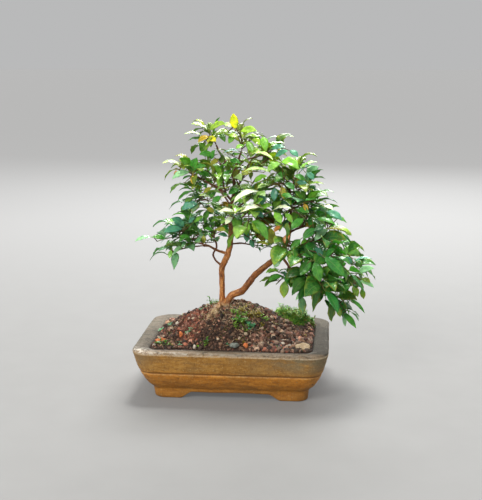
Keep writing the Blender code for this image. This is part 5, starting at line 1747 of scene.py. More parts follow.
def knobbly(path, index):
    """The path's points with the small swellings and kinks of old wood."""
    made = []
    rough = 2.6 if 2 <= index < 2 + len(ROOTS) else 1.0
    for i, (x, y, z, radius) in enumerate(path):
        spot = Vector((i * 0.16, index * 7.3, 0.0))
        swell = 1.0 + rough * (0.10 * noise.noise(spot * 2.2) + 0.05 * noise.noise(spot * 6.0))
        shift = 0.22 * rough * min(radius, 2.0)
        kink_x = shift * noise.noise(spot + Vector((0, 0, 5.0)))
        kink_y = shift * noise.noise(spot + Vector((0, 0, 9.0)))
        made.append((x + kink_x, y + kink_y, z, radius * swell))
    return made


def root_flare(path):
    """Widens the trunk's foot unevenly, as the roots run out of it."""
    return [(x, y, z, r * (1.0 + 0.16 * smooth_step(112.0, 98.0, z))) for x, y, z, r in path]


def dress_trunk():
    """All the wood as one skin, knobbly, and rougher at its foot."""
    paths = wood_paths()
    points, faces = [], []
    for index, path in enumerate(paths):
        body = root_flare(path) if index == 0 else path
        tube_points, tube_faces = tube(knobbly(body, index), 14 if index < 2 else 10)
        faces += [tuple(len(points) + i for i in face) for face in tube_faces]
        points += [tuple(c * MM for c in p) for p in tube_points]
    source = bpy.data.meshes.new("wood_helper")
    source.from_pydata(points, [], faces)
    mesh = remeshed("trunk_wood", source, WOOD_VOXEL, 2)
    mark_wood(mesh, paths)
    roughen(mesh, ((5.0, 0.24), (1.7, 0.12)))
    heights = np.array([vertex.co.z / MM for vertex in mesh.vertices])
    roughen(mesh, ((5.5, 1.5), (2.4, 0.6)), np.clip((112.0 - heights) / 8.0, 0.0, 1.0))
    mesh.shade_smooth()
    wood = show("trunk_wood", mesh, bark_material(), PLACE)
    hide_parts("trunk")


def mark_wood(mesh, paths):
    """Stores at each point its place round and along its stem, and the stem's radius there."""
    samples, frames = [], []
    for index, path in enumerate(paths):
        side = None
        for i, point in enumerate(path):
            ahead = np.array(path[min(i + 1, len(path) - 1)][:3]) - np.array(path[max(i - 1, 0)][:3])
            ahead /= np.linalg.norm(ahead)
            side = np.cross(ahead, (0.31, 0.95, 0.05)) if side is None else side
            side = side - ahead * side.dot(ahead)
            side /= np.linalg.norm(side)
            samples.append(point)
            frames.append((side, np.cross(ahead, side), i * PATH_STEP + index * 71.0))
    tree = kdtree.KDTree(len(samples))
    for i, sample in enumerate(samples):
        tree.insert(Vector(sample[:3]), i)
    tree.balance()
    places = np.empty((len(mesh.vertices), 4))
    for vertex in mesh.vertices:
        point = vertex.co / MM
        _, i, _ = tree.find(point)
        side, other, along = frames[i]
        away = np.array(point) - np.array(samples[i][:3])
        places[vertex.index] = (away.dot(side), away.dot(other), along, samples[i][3])
    store(mesh, "place", places)


def bark_material():
    """Smooth orange-brown bark with paler flakes, darker on the twigs, painted shade at the right, sandy at
    the foot.
    """
    g = Graph("bark", (0.36, 0.165, 0.075), 0.55)
    (round_x, round_y, along, radius), _ = g.read("place")
    at = g.position()
    x, _, z = g.split(at)
    unrolled = g.joined(g.times(round_x, 0.9), g.times(round_y, 0.9), g.times(along, 0.20))
    grain = g.noise(unrolled, 0.5, 6.0, 0.7, 0.4)
    flakes = g.noise(g.joined(round_x, round_y, g.times(along, 0.5)), 0.26, 5.0, 0.72, 0.8)
    rings = g.noise(g.joined(g.times(round_x, 0.2), g.times(round_y, 0.2), along), 0.75, 3.0, 0.6)
    specks = g.noise(at, 0.75, 3.0, 0.6)
    colour = g.ramp(grain, (0.33, (0.090, 0.026, 0.007)), (0.44, (0.300, 0.092, 0.016)),
                    (0.54, (0.460, 0.155, 0.030)), (0.66, (0.700, 0.330, 0.095)))
    colour = g.tinted(
        colour,
        (flakes, 0.55, 0.63, 0.65, (0.72, 0.400, 0.160)),
        (flakes, 0.42, 0.33, 0.80, (0.150, 0.055, 0.022)),
        (specks, 0.60, 0.68, 0.55, (0.110, 0.042, 0.018)),
        (rings, 0.62, 0.72, 0.45, (0.120, 0.052, 0.026)),
    )
    twig = g.math("MAXIMUM", g.between(radius, 2.2, 1.2), g.between(z, 195.0, 232.0))
    twig_colour = g.ramp(grain, (0.30, (0.070, 0.026, 0.016)), (0.55, (0.175, 0.066, 0.036)),
                         (0.75, (0.330, 0.160, 0.090)))
    colour = g.mix(g.times(twig, 0.82), colour, twig_colour)
    # painted shade: the wood darkens from x = -6 mm to 14 mm and stays darker to the right
    colour = g.mix(g.between(x, -6.0, 14.0), colour, g.shaded(colour, (0.64, 0.58, 0.50)))
    foot = g.between(g.plus(z, g.times(grain, 9.0)), 117.0, 103.0)
    knots = g.noise(at, 0.17, 5.0, 0.62)
    sandy = g.ramp(knots, (0.38, (0.070, 0.036, 0.018)), (0.45, (0.300, 0.180, 0.088)),
                   (0.52, (0.470, 0.330, 0.175)), (0.64, (0.680, 0.540, 0.350)))
    colour = g.mix(g.times(foot, 0.92), colour, sandy)
    height = g.plus(g.times(grain, 0.8), g.times(flakes, 0.7), g.times(rings, 0.35))
    height = g.math("SUBTRACT", height, g.between(specks, 0.58, 0.70, 0.0, 0.6))
    return g.finish(colour, g.between(grain, 0.3, 0.7, 0.62, 0.40), height, 1.0, 0.8)


# The foliage

ACROSS = np.array((1.0, 0.66, 0.30, 0.0, -0.30, -0.66, -1.0))
BLADE_STATIONS = np.array(
    (0.03, 0.08, 0.14, 0.21, 0.29, 0.38, 0.47, 0.56, 0.65, 0.73, 0.81, 0.88, 0.94, 0.98))
# A blade's ring runs over its face from edge to edge, and back underneath
AROUND = 2 * len(ACROSS) - 2
RING_ACROSS = np.concatenate([ACROSS, ACROSS[-2:0:-1]])
RING_FACE = np.concatenate([np.ones(len(ACROSS)), np.zeros(len(ACROSS) - 2)])
STALK_TURNS = np.pi * np.arange(AROUND) / (len(ACROSS) - 1)
TWIG_SIDES = 6
TWIG_TURNS = 2 * np.pi * np.arange(TWIG_SIDES) / TWIG_SIDES
TWIG_HABIT = Habit(spacing=7.5, leaf=22.0, width_share=0.50, half_thick=0.42,
                   petiole=2.0, twig=0.52, clearance=0.25)
# Tries for side twigs and small leaves: in the airy crown and left, and in the mass at the right
SIDE_TWIG_TRIES = (4, 5)
SMALL_LEAF_TRIES = (3, 4)
TWIG_TOP = 298.0
TWIGS_FROM = 0.45
FRONT_TWIG = 0.62
# How a posed leaf comes in: it takes the place of a leaf so near, may shift so far along the line of
# sight, looks for crossings so far round it, and is at most so wide for its length
POSED_WITHIN = 20.0
FRONT_SHIFTS = (0.0, -3.0, 3.0, -6.0, 6.0, -9.0, 9.0)
REACH_OF_LEAVES = 70.0
POSED_HALF_WIDTH = 0.29


def blade_outline(t, fullness):
    """Half width of a leaf along its length, as a share of its widest: oval with a drawn-out tip."""
    bare = t ** (0.80 * fullness) * (1.0 - t) ** (0.94 * fullness)
    top = 0.46 ** (0.80 * fullness) * 0.54 ** (0.94 * fullness)
    return bare / top * (1.0 - 0.20 * np.clip((t - 0.74) / 0.2, 0.0, 1.0))


@dataclass
class Blade:
    """The make of one blade: its ways at both ends, how it faces, its sizes, its fold, curl and waves."""

    start: np.ndarray
    finish: np.ndarray
    face_up: np.ndarray
    length: float
    half_width: float
    fullness: float
    twist: float
    fold: float
    curl: float
    ripple: float
    waves: float
    phase: np.ndarray


def blade_ring(at, side, up, t, blade):
    """The ring across a blade at this share of its length, and the place of each of its points."""
    s = ACROSS
    width = blade.half_width * blade_outline(t, blade.fullness)
    lift = width * (math.sin(blade.fold) * (np.sqrt(s * s + 0.03) - 0.173) - blade.curl * s * s * 0.6)
    wave = np.sin(6.28 * blade.waves * t + blade.phase[(s < 0).astype(int)])
    lift = lift + blade.ripple * np.abs(s) ** 1.5 * wave * min(1.0, width * 0.35)
    thick = (0.17 + 0.20 * np.exp(-(s / 0.16) ** 2) * (1 - t)) * (1 - np.abs(s) ** 4)
    level = at + np.outer(s * width * math.cos(blade.fold * 0.8), side)
    top = level + np.outer(lift + thick * 0.5, up)
    low = level + np.outer(lift - thick, up)
    places = np.stack([RING_ACROSS, np.full(AROUND, t), RING_FACE, np.zeros(AROUND)], axis=-1)
    return np.concatenate([top, low[-2:0:-1]]), places


def round_ring(at, side, up, radius, turns):
    """A round ring across a stalk or a twig."""
    return at + radius * (np.outer(np.cos(turns), side) + np.outer(np.sin(turns), up))


def stalk_ring(at, side, up, radius):
    """A ring across a leaf's stalk, and the place of each of its points."""
    face = np.where(np.sin(STALK_TURNS) > -0.1, 1.0, 0.0)
    places = np.stack([np.cos(STALK_TURNS), np.zeros(AROUND), face, np.ones(AROUND)], axis=-1)
    return round_ring(at, side, up, radius, STALK_TURNS), places


def make_blade(leaf, rng, rippling, fullness, posed):
    """Draws the make of one leaf's blade; a grown leaf arches and droops, a posed one keeps its own ways."""
    start, finish, face_up = (np.array(way) for way in (leaf.start, leaf.finish, leaf.face_up))
    hanging = hanging_share(leaf.root)
    arch = rng.uniform(0.35, 0.95) * (1.0 - 0.5 * hanging)
    fold, curl, twist = rng.uniform(0.12, 0.42), rng.uniform(0.0, 0.30), rng.uniform(-0.25, 0.25)
    waves, phase = rng.uniform(2.0, 3.6), rng.uniform(0, 6.3, size=2)
    ripple = rng.uniform(0.25, 0.80) * rippling * leaf.width / 13.0
    half_width = leaf.width / 2 * (rng.uniform(1.02, 1.20) + 0.12 * hanging)
    if posed:
        length, half_width = leaf.length, min(leaf.width / 2, leaf.length * POSED_HALF_WIDTH)
    else:
        length = leaf.length * (1.22 - 0.14 * hanging)
        start = start + np.array((0.0, 0.0, arch))
        finish = finish - np.array((0.0, 0.0, arch * 0.95))
        face_up = face_up * (0.65 + 0.35 * hanging) + np.array((0.0, 0.0, 0.55 * (1.0 - hanging)))
    ways = (start, finish, face_up)
    return Blade(*ways, length, half_width, fullness, twist, fold, curl, ripple, waves, phase)


def blade_frame(blade, t):
    """Ahead, side and up at this share of a blade's length, turned by its twist."""
    bent = max(t, 0.0) ** 1.15
    ahead = blade.start * (1 - bent) + blade.finish * bent
    ahead /= np.linalg.norm(ahead)
    up = blade.face_up - ahead * blade.face_up.dot(ahead)
    up /= max(np.linalg.norm(up), 1e-6)
    side = np.cross(up, ahead)
    roll = blade.twist * max(t, 0.0)
    rolled = side * math.cos(roll) + up * math.sin(roll)
    return ahead, rolled, up * math.cos(roll) - side * math.sin(roll)


def leaf_shape(leaf, rng, rippling=1.0, fullness=1.0, stations=BLADE_STATIONS, posed=False):
    """One closed leaf with its stalk: its points, its faces and the place of each point."""
    blade = make_blade(leaf, rng, rippling, fullness, posed)
    at = np.array(leaf.root) - blade.start / np.linalg.norm(blade.start) * leaf.habit.twig * 0.8
    reach = leaf.habit.petiole + leaf.habit.twig * 0.8
    rings, places = [], []
    before = 0.0
    for t in (-1.0, -0.5, 0.0, *stations):
        ahead, side, up = blade_frame(blade, t)
        if t > 0.0:
            at = at + ahead * (blade.length * (t - before))
            before = t
            ring, place = blade_ring(at, side, up, t, blade)
        else:
            if t > -1.0:
                at = at + ahead * (reach * 0.5)
            ring, place = stalk_ring(at, side, up, leaf.habit.half_thick * (1.0 if t < 0.0 else 0.85))
        rings.append(ring)
        places.append(place)
    tip = at + ahead * blade.length * (1.0 - before)
    points = np.concatenate(rings + [tip[None]])
    places = np.concatenate(places + [np.array([[0.0, 1.0, 1.0, 0.0]])])
    index, following, quads = ring_grid(len(rings), AROUND)
    cone = np.stack([index[-1], following[-1], np.full(AROUND, len(points) - 1)], axis=-1)
    return points, [quads, np.concatenate([cone, foot_fan(index[0])])], places


def small_leaves(shoot, tries, size, rng, crowd):
    """Extra small leaves between a shoot's pairs, each clear of what stands already."""
    found = []
    for _ in range(tries):
        t = rng.uniform(0.08, 0.97)
        side, up = shoot.frame(t)
        turn = rng.uniform(0.0, 2 * math.pi)
        out = side * math.cos(turn) + up * math.sin(turn)
        root = shoot.centre(t) + out * (shoot.half * 0.9)
        growth = size * rng.uniform(0.65, 1.0)
        leaf = propose_leaf(root, shoot.direction(t), out, growth, rng, 0, shoot.habit)
        if crowd.meets(*leaf.trial(0.2)):
            continue
        crowd.add(*leaf.trial(0.1), "leaf")
        found.append(leaf)
    return found


def side_twigs(path, count, rng, crowd):
    """Short twigs out of the outer part of a stem, where there is room for one."""
    found = []
    for _ in range(count):
        at = rng.randint(int(len(path) * TWIGS_FROM), len(path) - 2)
        stem = Vector(path[at][:3])
        ahead = (Vector(path[at + 1][:3]) - stem).normalized()
        away = Vector((rng.gauss(0, 1), rng.gauss(0, 1), rng.gauss(0.4, 0.8)))
        away = (away - ahead * away.dot(ahead)).normalized()
        heading = (away + ahead * rng.uniform(0.1, 0.7)).normalized()
        start = stem + away * (path[at][3] * 0.6)
        reach = (heading + outward(start) * rng.uniform(0.0, 0.5)).normalized()
        end = start + reach * rng.uniform(11.0, 24.0)
        events = pair_events((end - start).length, TWIG_HABIT, 0.3)
        shoot = Shoot("twig", start, heading, end, TWIG_HABIT.twig, events, TWIG_HABIT)
        if end.z > TWIG_TOP or crowd.meets(*shoot.trial(5.0)):
            continue
        crowd.add(*shoot.trial(3.0), "twig")
        found.append(shoot)
    return found


def twig_leaves(shoot, size, rng, crowd):
    """Opposite leaves along a short twig and one at its end."""
    found = []
    for t in list(shoot.events) + [1.0]:
        side, along = shoot.frame(t)[0], shoot.direction(t)
        for out in (side, -side) if t < 1.0 else (along,):
            root = shoot.centre(t) + out * (shoot.half * 0.8)
            for attempt in range(6):
                growth = size * rng.uniform(0.6, 1.0)
                leaf = propose_leaf(root, along, out, growth, rng, attempt, shoot.habit)
                if not crowd.meets(*leaf.trial(0.2)):
                    crowd.add(*leaf.trial(0.1), "leaf")
                    found.append(leaf)
                    break
    return found


def twig_shape(shoot):
    """A round twig along a shoot, with a small swelling at each leaf pair."""
    count = max(6, round(shoot.span / 1.6))
    rings, places = [], []
    for i in range(count + 1):
        t = i / count
        side, up = (np.array(v) for v in shoot.frame(t))
        near = min([abs(t - e) * shoot.span for e in shoot.events] + [9.0])
        radius = shoot.half * (1.02 - 0.34 * t) * (1.0 + 0.28 * math.exp(-(near / 0.9) ** 2))
        wander = 0.16 * noise.noise(Vector((t * shoot.span / 5, shoot.span, 3.0)))
        centre = np.array(shoot.centre(t)) + side * wander
        rings.append(round_ring(centre, side, up, radius, TWIG_TURNS))
        places.append(np.tile((0.0, t, 0.5, 2.0), (TWIG_SIDES, 1)))
    index, _, quads = ring_grid(len(rings), TWIG_SIDES)
    caps = foot_fan(index[0]) + fan(index[-1])
    return np.concatenate(rings), [quads, caps], np.concatenate(places)


# Leaf tones: fresh at the crown, pale as painted sunlight in the middle, blue-green (green with painted sky
# reflection) at the left, deep at the right
FRESH = ((0.290, 0.450, 0.052), (0.160, 0.330, 0.040), (0.500, 0.570, 0.052))
PALE = ((0.300, 0.580, 0.090), (0.190, 0.480, 0.050), (0.520, 0.700, 0.240))
MIDDLE = ((0.150, 0.420, 0.055), (0.095, 0.330, 0.050), (0.270, 0.480, 0.045))
GREEN_WITH_SKY_SHEEN = ((0.150, 0.400, 0.210), (0.105, 0.310, 0.150), (0.230, 0.470, 0.240))
DEEP = ((0.052, 0.345, 0.056), (0.038, 0.260, 0.052), (0.115, 0.420, 0.045))
OLD = ((0.680, 0.500, 0.025), (0.500, 0.400, 0.030), (0.620, 0.270, 0.045), (0.400, 0.330, 0.040))
# Leaves that show most at the front: the root and the tip in the picture, in pixels
# across and down, their depths in millimetres behind the pot's middle, then the width, the arch, how
# the blade faces, and the tone
FRONT_LEAVES = (
    ((235, 131), (233.4, 113.5), (-6, -8), 13, 0.25, "out", "yellow"),
    ((209, 131), (191.5, 123.5), (-14, -24), 10, 0.55, "up", "fresh"),
    ((209, 131), (225, 123.5), (-14, -26), 11, 0.4, "half", "fresh"),
    ((203, 136), (184, 135), (-14, -26), 9, 0.45, "up", "pale"),
    ((210, 136), (199, 144), (-14, -24), 9, 0.4, "half", "orange"),
    ((206, 139), (216, 142.5), (-14, -24), 9, 0.35, "half", "yellow"),
    ((239, 132), (257, 132), (-12, -22), 11, 0.4, "half", "fresh"),
    ((262, 135), (265.5, 151), (-20, -26), 12, 0.3, "out", "lime"),
    ((268, 148), (284.5, 143), (-20, -30), 9, 0.5, "up", "fresh"),
    ((250, 154), (272, 163), (-26, -38), 10, 0.6, "up", "pale"),
    ((242, 173), (268.5, 173), (-36, -46), 10, 0.55, "up", "pale"),
    ((280, 163), (296.5, 173), (-30, -42), 13, 0.75, "half", "lime"),
    ((297, 172), (316, 160.5), (-30, -40), 10, 0.55, "up", "lime"),
    ((299, 173), (311, 165), (-26, -34), 9, 0.3, "up", "teal"),
    ((253, 183.5), (267, 176), (-40, -48), 10, 0.4, "half", "lime"),
    ((238, 214), (218.5, 212.5), (-48, -58), 10, 0.6, "up", "painted_highlight"),
    ((272, 211), (291, 209), (-46, -56), 10, 0.6, "up", "painted_highlight"),
    ((273, 211), (280.5, 224.5), (-46, -54), 11, 0.35, "half", "lime"),
    ((247, 219), (246.5, 235), (-50, -54), 11, 0.25, "out", "lime"),
    ((251, 220), (259.5, 234), (-50, -54), 10, 0.25, "out", "fresh"),
    ((270, 226), (271.5, 245), (-44, -48), 15, 0.2, "out", "mottled"),
    ((199, 203), (182.5, 211), (-32, -42), 14, 0.35, "half", "teal"),
    ((212, 199), (199, 196), (-30, -40), 9, 0.5, "up", "pale"),
    ((205, 208), (214, 213.5), (-30, -36), 9, 0.3, "half", "mottled"),
    ((191, 172), (197, 157.5), (-26, -30), 11, 0.2, "out", "green"),
    ((191, 172), (173.5, 181.5), (-26, -38), 11, 0.5, "half", "mint_sky_reflection"),
    ((191, 172), (206, 166), (-26, -36), 10, 0.45, "half", "green"),
    ((181, 165), (162.5, 164), (-24, -34), 8, 0.55, "up", "pale"),
    ((193, 173.5), (192.5, 184), (-28, -32), 7, 0.15, "out", "orange"),
    ((176, 168.5), (176, 178), (-26, -30), 6, 0.15, "out", "rust"),
    ((312, 259), (301, 276), (-62, -68), 15, 0.25, "out", "green"),
    ((314, 260), (319.5, 282), (-62, -68), 17, 0.25, "out", "green"),
    ((323, 256), (344, 278), (-58, -64), 15, 0.25, "out", "deep"),
    ((283.5, 276), (269, 282.5), (-38, -46), 9, 0.4, "half", "green"),
    ((285, 279), (284, 298), (-38, -42), 12, 0.2, "out", "tipped"),
    ((311, 290), (296.5, 301.5), (-46, -54), 9, 0.35, "half", "mint_sky_reflection"),
    ((356, 275), (374, 268), (-26, -34), 10, 0.45, "half", "mint_sky_reflection"),
    ((360, 279), (370, 284), (-26, -32), 9, 0.4, "half", "tipped"),
    ((341, 311), (355, 329), (-28, -34), 8, 0.3, "half", "green"),
    ((331, 297), (336.5, 308), (-50, -54), 9, 0.25, "out", "yellow"),
    ((322, 292), (312, 300), (-50, -56), 11, 0.3, "half", "mottled"),
    ((327, 228), (351, 236), (-30, -38), 9, 0.45, "up", "fresh"),
    ((315, 239), (328, 230), (-40, -46), 11, 0.35, "half", "mint_sky_reflection"),
    ((340, 217), (326, 212), (-22, -32), 9, 0.45, "up", "teal"),
    ((322, 206), (332.5, 211), (-28, -36), 8, 0.45, "up", "painted_highlight"),
    ((263, 190), (262, 205), (-44, -48), 10, 0.25, "out", "teal"),
    ((275, 186), (274, 201), (-36, -40), 12, 0.25, "out", "teal"),
    ((246, 140), (252, 153), (-20, -26), 10, 0.3, "out", "lime"),
    ((262, 192), (236.5, 207.5), (-48, -60), 11, 0.65, "up", "painted_highlight"),
    ((263, 208), (240, 215), (-48, -60), 11, 0.5, "up", "painted_highlight"),
    ((234, 216), (226, 225), (-50, -57), 10, 0.3, "half", "painted_highlight"),
    ((153, 237), (135, 242.5), (-32, -42), 8, 0.3, "up", "mint_sky_reflection"),
    ((167, 239), (152, 238), (-32, -40), 8, 0.35, "half", "green"),
    ((184, 229), (164, 233.5), (-34, -44), 11, 0.35, "half", "teal"),
    ((185, 228), (172, 218), (-34, -42), 12, 0.35, "half", "teal"),
    ((187.5, 224), (195, 218), (-34, -38), 8, 0.3, "half", "teal"),
    ((192.5, 223.5), (204, 216.5), (-34, -42), 8, 0.3, "half", "lime"),
    ((182, 225), (165, 224), (-34, -42), 5, 0.45, "up", "pale"),
    ((170, 247.5), (159, 252.5), (-34, -42), 7, 0.45, "up", "mint_sky_reflection"),
    ((171.5, 248.5), (170, 258.5), (-34, -40), 8, 0.35, "half", "lime"),
    ((187, 243), (174, 256), (-34, -42), 7, 0.35, "half", "mint_sky_reflection"),
    ((192, 239), (179, 237), (-32, -38), 7, 0.3, "half", "green"),
    ((203, 240), (199, 232), (-30, -36), 6, 0.3, "half", "mint_sky_reflection"),
    ((203, 233), (204, 243.5), (-30, -34), 8, 0.2, "out", "mottled"),
    ((215, 231), (204, 229), (-28, -34), 8, 0.3, "half", "green"),
    ((214, 230), (226, 231), (-28, -34), 7, 0.3, "half", "mottled"),
    ((229, 237), (218, 235), (-26, -32), 7, 0.35, "half", "teal"),
    ((229, 231), (222, 225), (-26, -30), 7, 0.3, "half", "green"),
    ((236, 226), (238, 239), (-34, -38), 11, 0.25, "out", "green"),
    ((246, 229), (247, 242), (-44, -48), 9, 0.25, "out", "teal"),
    ((249, 238), (253, 248), (-44, -48), 8, 0.3, "half", "teal"),
    ((255, 243), (269, 246), (-42, -46), 7, 0.35, "up", "mottled"),
    ((218, 202), (227, 196), (-30, -36), 8, 0.45, "up", "painted_highlight"),
    ((213, 187), (204, 194), (-26, -32), 9, 0.3, "half", "mottled"),
    ((252, 212), (263, 219), (-48, -54), 9, 0.35, "half", "teal"),
    ((222, 124), (231, 128.5), (-14, -22), 8, 0.4, "half", "pale"),
    ((235, 133), (229.5, 144), (-10, -16), 10, 0.3, "out", "lime"),
    ((244, 138), (258, 138), (-14, -22), 8, 0.5, "up", "fresh"),
    ((250, 139), (261, 147.5), (-18, -24), 9, 0.4, "half", "fresh"),
    ((270, 150), (285, 148), (-16, -22), 9, 0.4, "half", "teal"),
    ((274, 158), (288, 151), (-18, -24), 9, 0.4, "half", "teal"),
    ((241, 152), (224, 154), (-14, -22), 9, 0.45, "up", "teal"),
    ((214, 157), (199, 155), (-14, -22), 10, 0.35, "half", "green"),
    ((221, 158), (211, 166), (-16, -22), 10, 0.25, "half", "mottled"),
    ((222, 176), (213.5, 165.5), (-20, -26), 8, 0.3, "half", "lime"),
    ((197, 173), (209, 178), (-26, -32), 9, 0.35, "half", "green"),
    ((233, 169), (224, 180), (-20, -26), 9, 0.3, "half", "green"),
    ((255, 171), (241, 176.5), (-28, -34), 9, 0.35, "half", "mottled"),
    ((241, 168), (234, 179), (-24, -28), 8, 0.25, "out", "mottled"),
    ((282, 163), (269.5, 174), (-32, -40), 10, 0.55, "half", "lime"),
    ((256, 190), (268, 184.5), (-42, -48), 9, 0.45, "up", "pale"),
    ((252, 206), (263, 199), (-46, -52), 9, 0.45, "half", "lime"),
    ((258, 212), (272, 205), (-46, -52), 9, 0.45, "half", "lime"),
    ((296, 210), (309, 214), (-38, -44), 9, 0.4, "half", "green"),
    ((305, 187), (324, 184.5), (-24, -30), 7, 0.5, "up", "tipped"),
    ((283, 183), (294, 191), (-30, -36), 10, 0.35, "half", "deep"),
    ((295, 182), (307, 188), (-28, -34), 9, 0.4, "half", "teal"),
    ((281, 185), (284, 199), (-34, -38), 10, 0.25, "out", "mottled"),
    ((300, 204), (319, 200), (-34, -40), 8, 0.5, "up", "green"),
    ((303, 202), (307, 212), (-38, -42), 7, 0.25, "out", "orange"),
    ((326, 219), (346, 224.5), (-32, -38), 10, 0.5, "up", "green"),
    ((323, 258), (315, 248), (-52, -58), 11, 0.35, "half", "teal"),
    ((325, 258), (335, 249), (-50, -56), 11, 0.35, "half", "deep"),
    ((321, 258), (301, 256), (-54, -62), 11, 0.4, "half", "deep"),
    ((302, 238), (292, 251), (-50, -56), 13, 0.3, "half", "green"),
    ((292, 247), (289.5, 261), (-48, -52), 10, 0.25, "out", "lime"),
    ((305, 218), (292, 231), (-46, -54), 14, 0.35, "half", "green"),
    ((318, 228), (304, 241), (-46, -54), 13, 0.35, "half", "deep"),
    ((328, 229), (316, 242), (-44, -52), 11, 0.35, "half", "mint_sky_reflection"),
    ((312, 220), (335, 227), (-38, -46), 9, 0.5, "up", "green"),
    ((327, 229), (342, 231), (-38, -44), 7, 0.4, "up", "mottled"),
    ((343, 231), (351, 236.5), (-36, -40), 7, 0.35, "half", "tipped"),
    ((325, 212), (341, 221.5), (-30, -38), 10, 0.4, "half", "teal"),
    ((284, 212), (291, 223.5), (-46, -50), 9, 0.35, "half", "lime"),
    ((282, 225), (275, 233), (-44, -50), 9, 0.35, "half", "rust"),
    ((291, 233), (284, 244), (-44, -48), 8, 0.3, "half", "rust"),
    ((282, 259), (275, 268.5), (-36, -42), 7, 0.35, "half", "mint_sky_reflection"),
    ((319, 286), (310, 295.5), (-48, -54), 9, 0.35, "half", "mint_sky_reflection"),
    ((340, 284), (326, 283), (-44, -52), 10, 0.4, "half", "green"),
    ((352, 284), (340.5, 296), (-38, -44), 10, 0.35, "half", "green"),
    ((352, 284), (357, 297), (-38, -42), 9, 0.3, "out", "tipped"),
    ((358, 281), (373, 289.5), (-28, -34), 7, 0.45, "half", "mint_sky_reflection"),
    ((361, 287), (363.5, 299), (-28, -32), 7, 0.25, "out", "tipped"),
    ((353, 263), (372, 259), (-22, -28), 6, 0.55, "up", "teal"),
    ((353, 265), (345, 257), (-22, -28), 7, 0.4, "half", "teal"),
    ((338, 245), (349, 241.5), (-30, -36), 6, 0.4, "up", "green"),
    ((349, 298), (363.5, 314.5), (-26, -32), 5, 0.35, "half", "green"),
    ((337, 305), (340, 317), (-34, -38), 8, 0.25, "out", "tipped"),
    ((343, 313), (345, 326.5), (-30, -34), 5, 0.25, "half", "mint_sky_reflection"),
    ((229, 131), (219, 136), (-14, -22), 9, 0.4, "half", "fresh"),
    ((226, 135), (237, 139), (-12, -20), 9, 0.4, "half", "fresh"),
    ((246, 146), (236, 150), (-16, -22), 9, 0.4, "half", "lime"),
    ((262, 150), (252, 156), (-20, -28), 9, 0.45, "half", "fresh"),
    ((266, 141), (277, 137), (-16, -24), 8, 0.45, "up", "mint_sky_reflection"),
    ((228, 160), (240, 165), (-18, -24), 9, 0.4, "half", "green"),
    ((263, 166), (251, 162), (-24, -32), 9, 0.5, "up", "fresh"),
    ((286, 171), (276, 183), (-30, -36), 10, 0.3, "half", "green"),
    ((293, 175), (304, 182), (-26, -32), 9, 0.4, "half", "green"),
    ((270, 185), (258, 190), (-40, -48), 9, 0.5, "up", "pale"),
    ((210, 161), (215, 150), (-16, -20), 9, 0.3, "half", "green"),
    ((204, 151), (213, 144), (-12, -18), 8, 0.4, "half", "fresh"),
    ((280, 195), (292, 199), (-38, -44), 9, 0.4, "half", "green"),
    ((241, 189), (229, 196), (-26, -34), 9, 0.4, "half", "green"),
    ((223, 196), (213, 204), (-26, -32), 9, 0.35, "half", "green"),
    ((244, 204), (234, 199), (-36, -42), 8, 0.4, "half", "lime"),
    ((288, 150), (297, 158), (-12, -18), 9, 0.4, "half", "teal"),
    ((305, 172), (313, 181), (-18, -24), 9, 0.4, "half", "teal"),
)
# How a blade faces: its upper side up, half towards the front, or out to the front
FACINGS = {"up": (0.0, -0.30, 0.95), "half": (0.0, -0.70, 0.71), "out": (0.0, -0.97, 0.24)}
# Colour and age of each tone; the near-white tone is a painted highlight, the pale one lime green under a
# painted highlight, and the teal and mint ones green with painted sky reflection
FRONT_TONES = {
    "yellow": ((0.880, 0.840, 0.030), 0.0), "fresh": ((0.380, 0.580, 0.060), 0.0),
    "pale": ((0.660, 0.820, 0.360), 0.0), "painted_highlight": ((0.930, 0.950, 0.860), 0.0),
    "lime": ((0.300, 0.640, 0.080), 0.1), "green": ((0.090, 0.390, 0.050), 0.1),
    "deep": ((0.055, 0.320, 0.052), 0.1), "teal": ((0.115, 0.390, 0.265), 0.0),
    "mint_sky_reflection": ((0.330, 0.600, 0.340), 0.0), "orange": ((0.860, 0.600, 0.040), 0.3),
    "rust": ((0.720, 0.270, 0.060), 0.4), "mottled": ((0.420, 0.450, 0.045), 0.5),
    "tipped": ((0.240, 0.480, 0.055), 0.55),
}


def behind_pixel(pixel, depth):
    """The place in millimetres that a point of the picture shows, at a depth behind the pot's middle."""
    right, above, ahead = camera_axes()
    across, down = pixel
    sight = ahead + right * ((across - PICTURE_WIDTH / 2) / FOCAL_PIXELS)
    sight = sight - above * ((down - PICTURE_HEIGHT / 2) / FOCAL_PIXELS)
    camera = Vector(CAMERA_AT)
    return camera + sight * ((depth - camera.y) / sight.y)


def front_leaf(row, shift):
    """One leaf of the table, moved back along the line of sight by a shift."""
    root_pixel, tip_pixel, depths, width, arch, facing, _ = row
    root = behind_pixel(root_pixel, depths[0] + shift)
    way = behind_pixel(tip_pixel, depths[1] + shift) - root
    bow = Vector((0.0, 0.0, arch))
    ahead = way.normalized()
    length = way.length * (1.0 + arch * arch / 4) - TREE_HABIT.petiole
    return Leaf(root, (ahead + bow).normalized(), (ahead - bow).normalized(),
                Vector(FACINGS[facing]), length, width, TREE_HABIT)


def skin_of(leaf):
    return BVHTree.FromPolygons(*leaf.trial(0.0))


def overlapping(leaf, others):
    """Which of the others this leaf crosses."""
    tree = skin_of(leaf)
    return [index for index, (_, other, skin) in enumerate(others)
            if (other.root - leaf.root).length < REACH_OF_LEAVES and tree.overlap(skin)]


def least_crossing(row, others):
    """The leaf of this row, shifted along the line of sight to where it crosses the fewest others."""
    tries = [(len(overlapping(front_leaf(row, shift), others)), abs(shift), shift) for shift in FRONT_SHIFTS]
    return front_leaf(row, min(tries)[2])


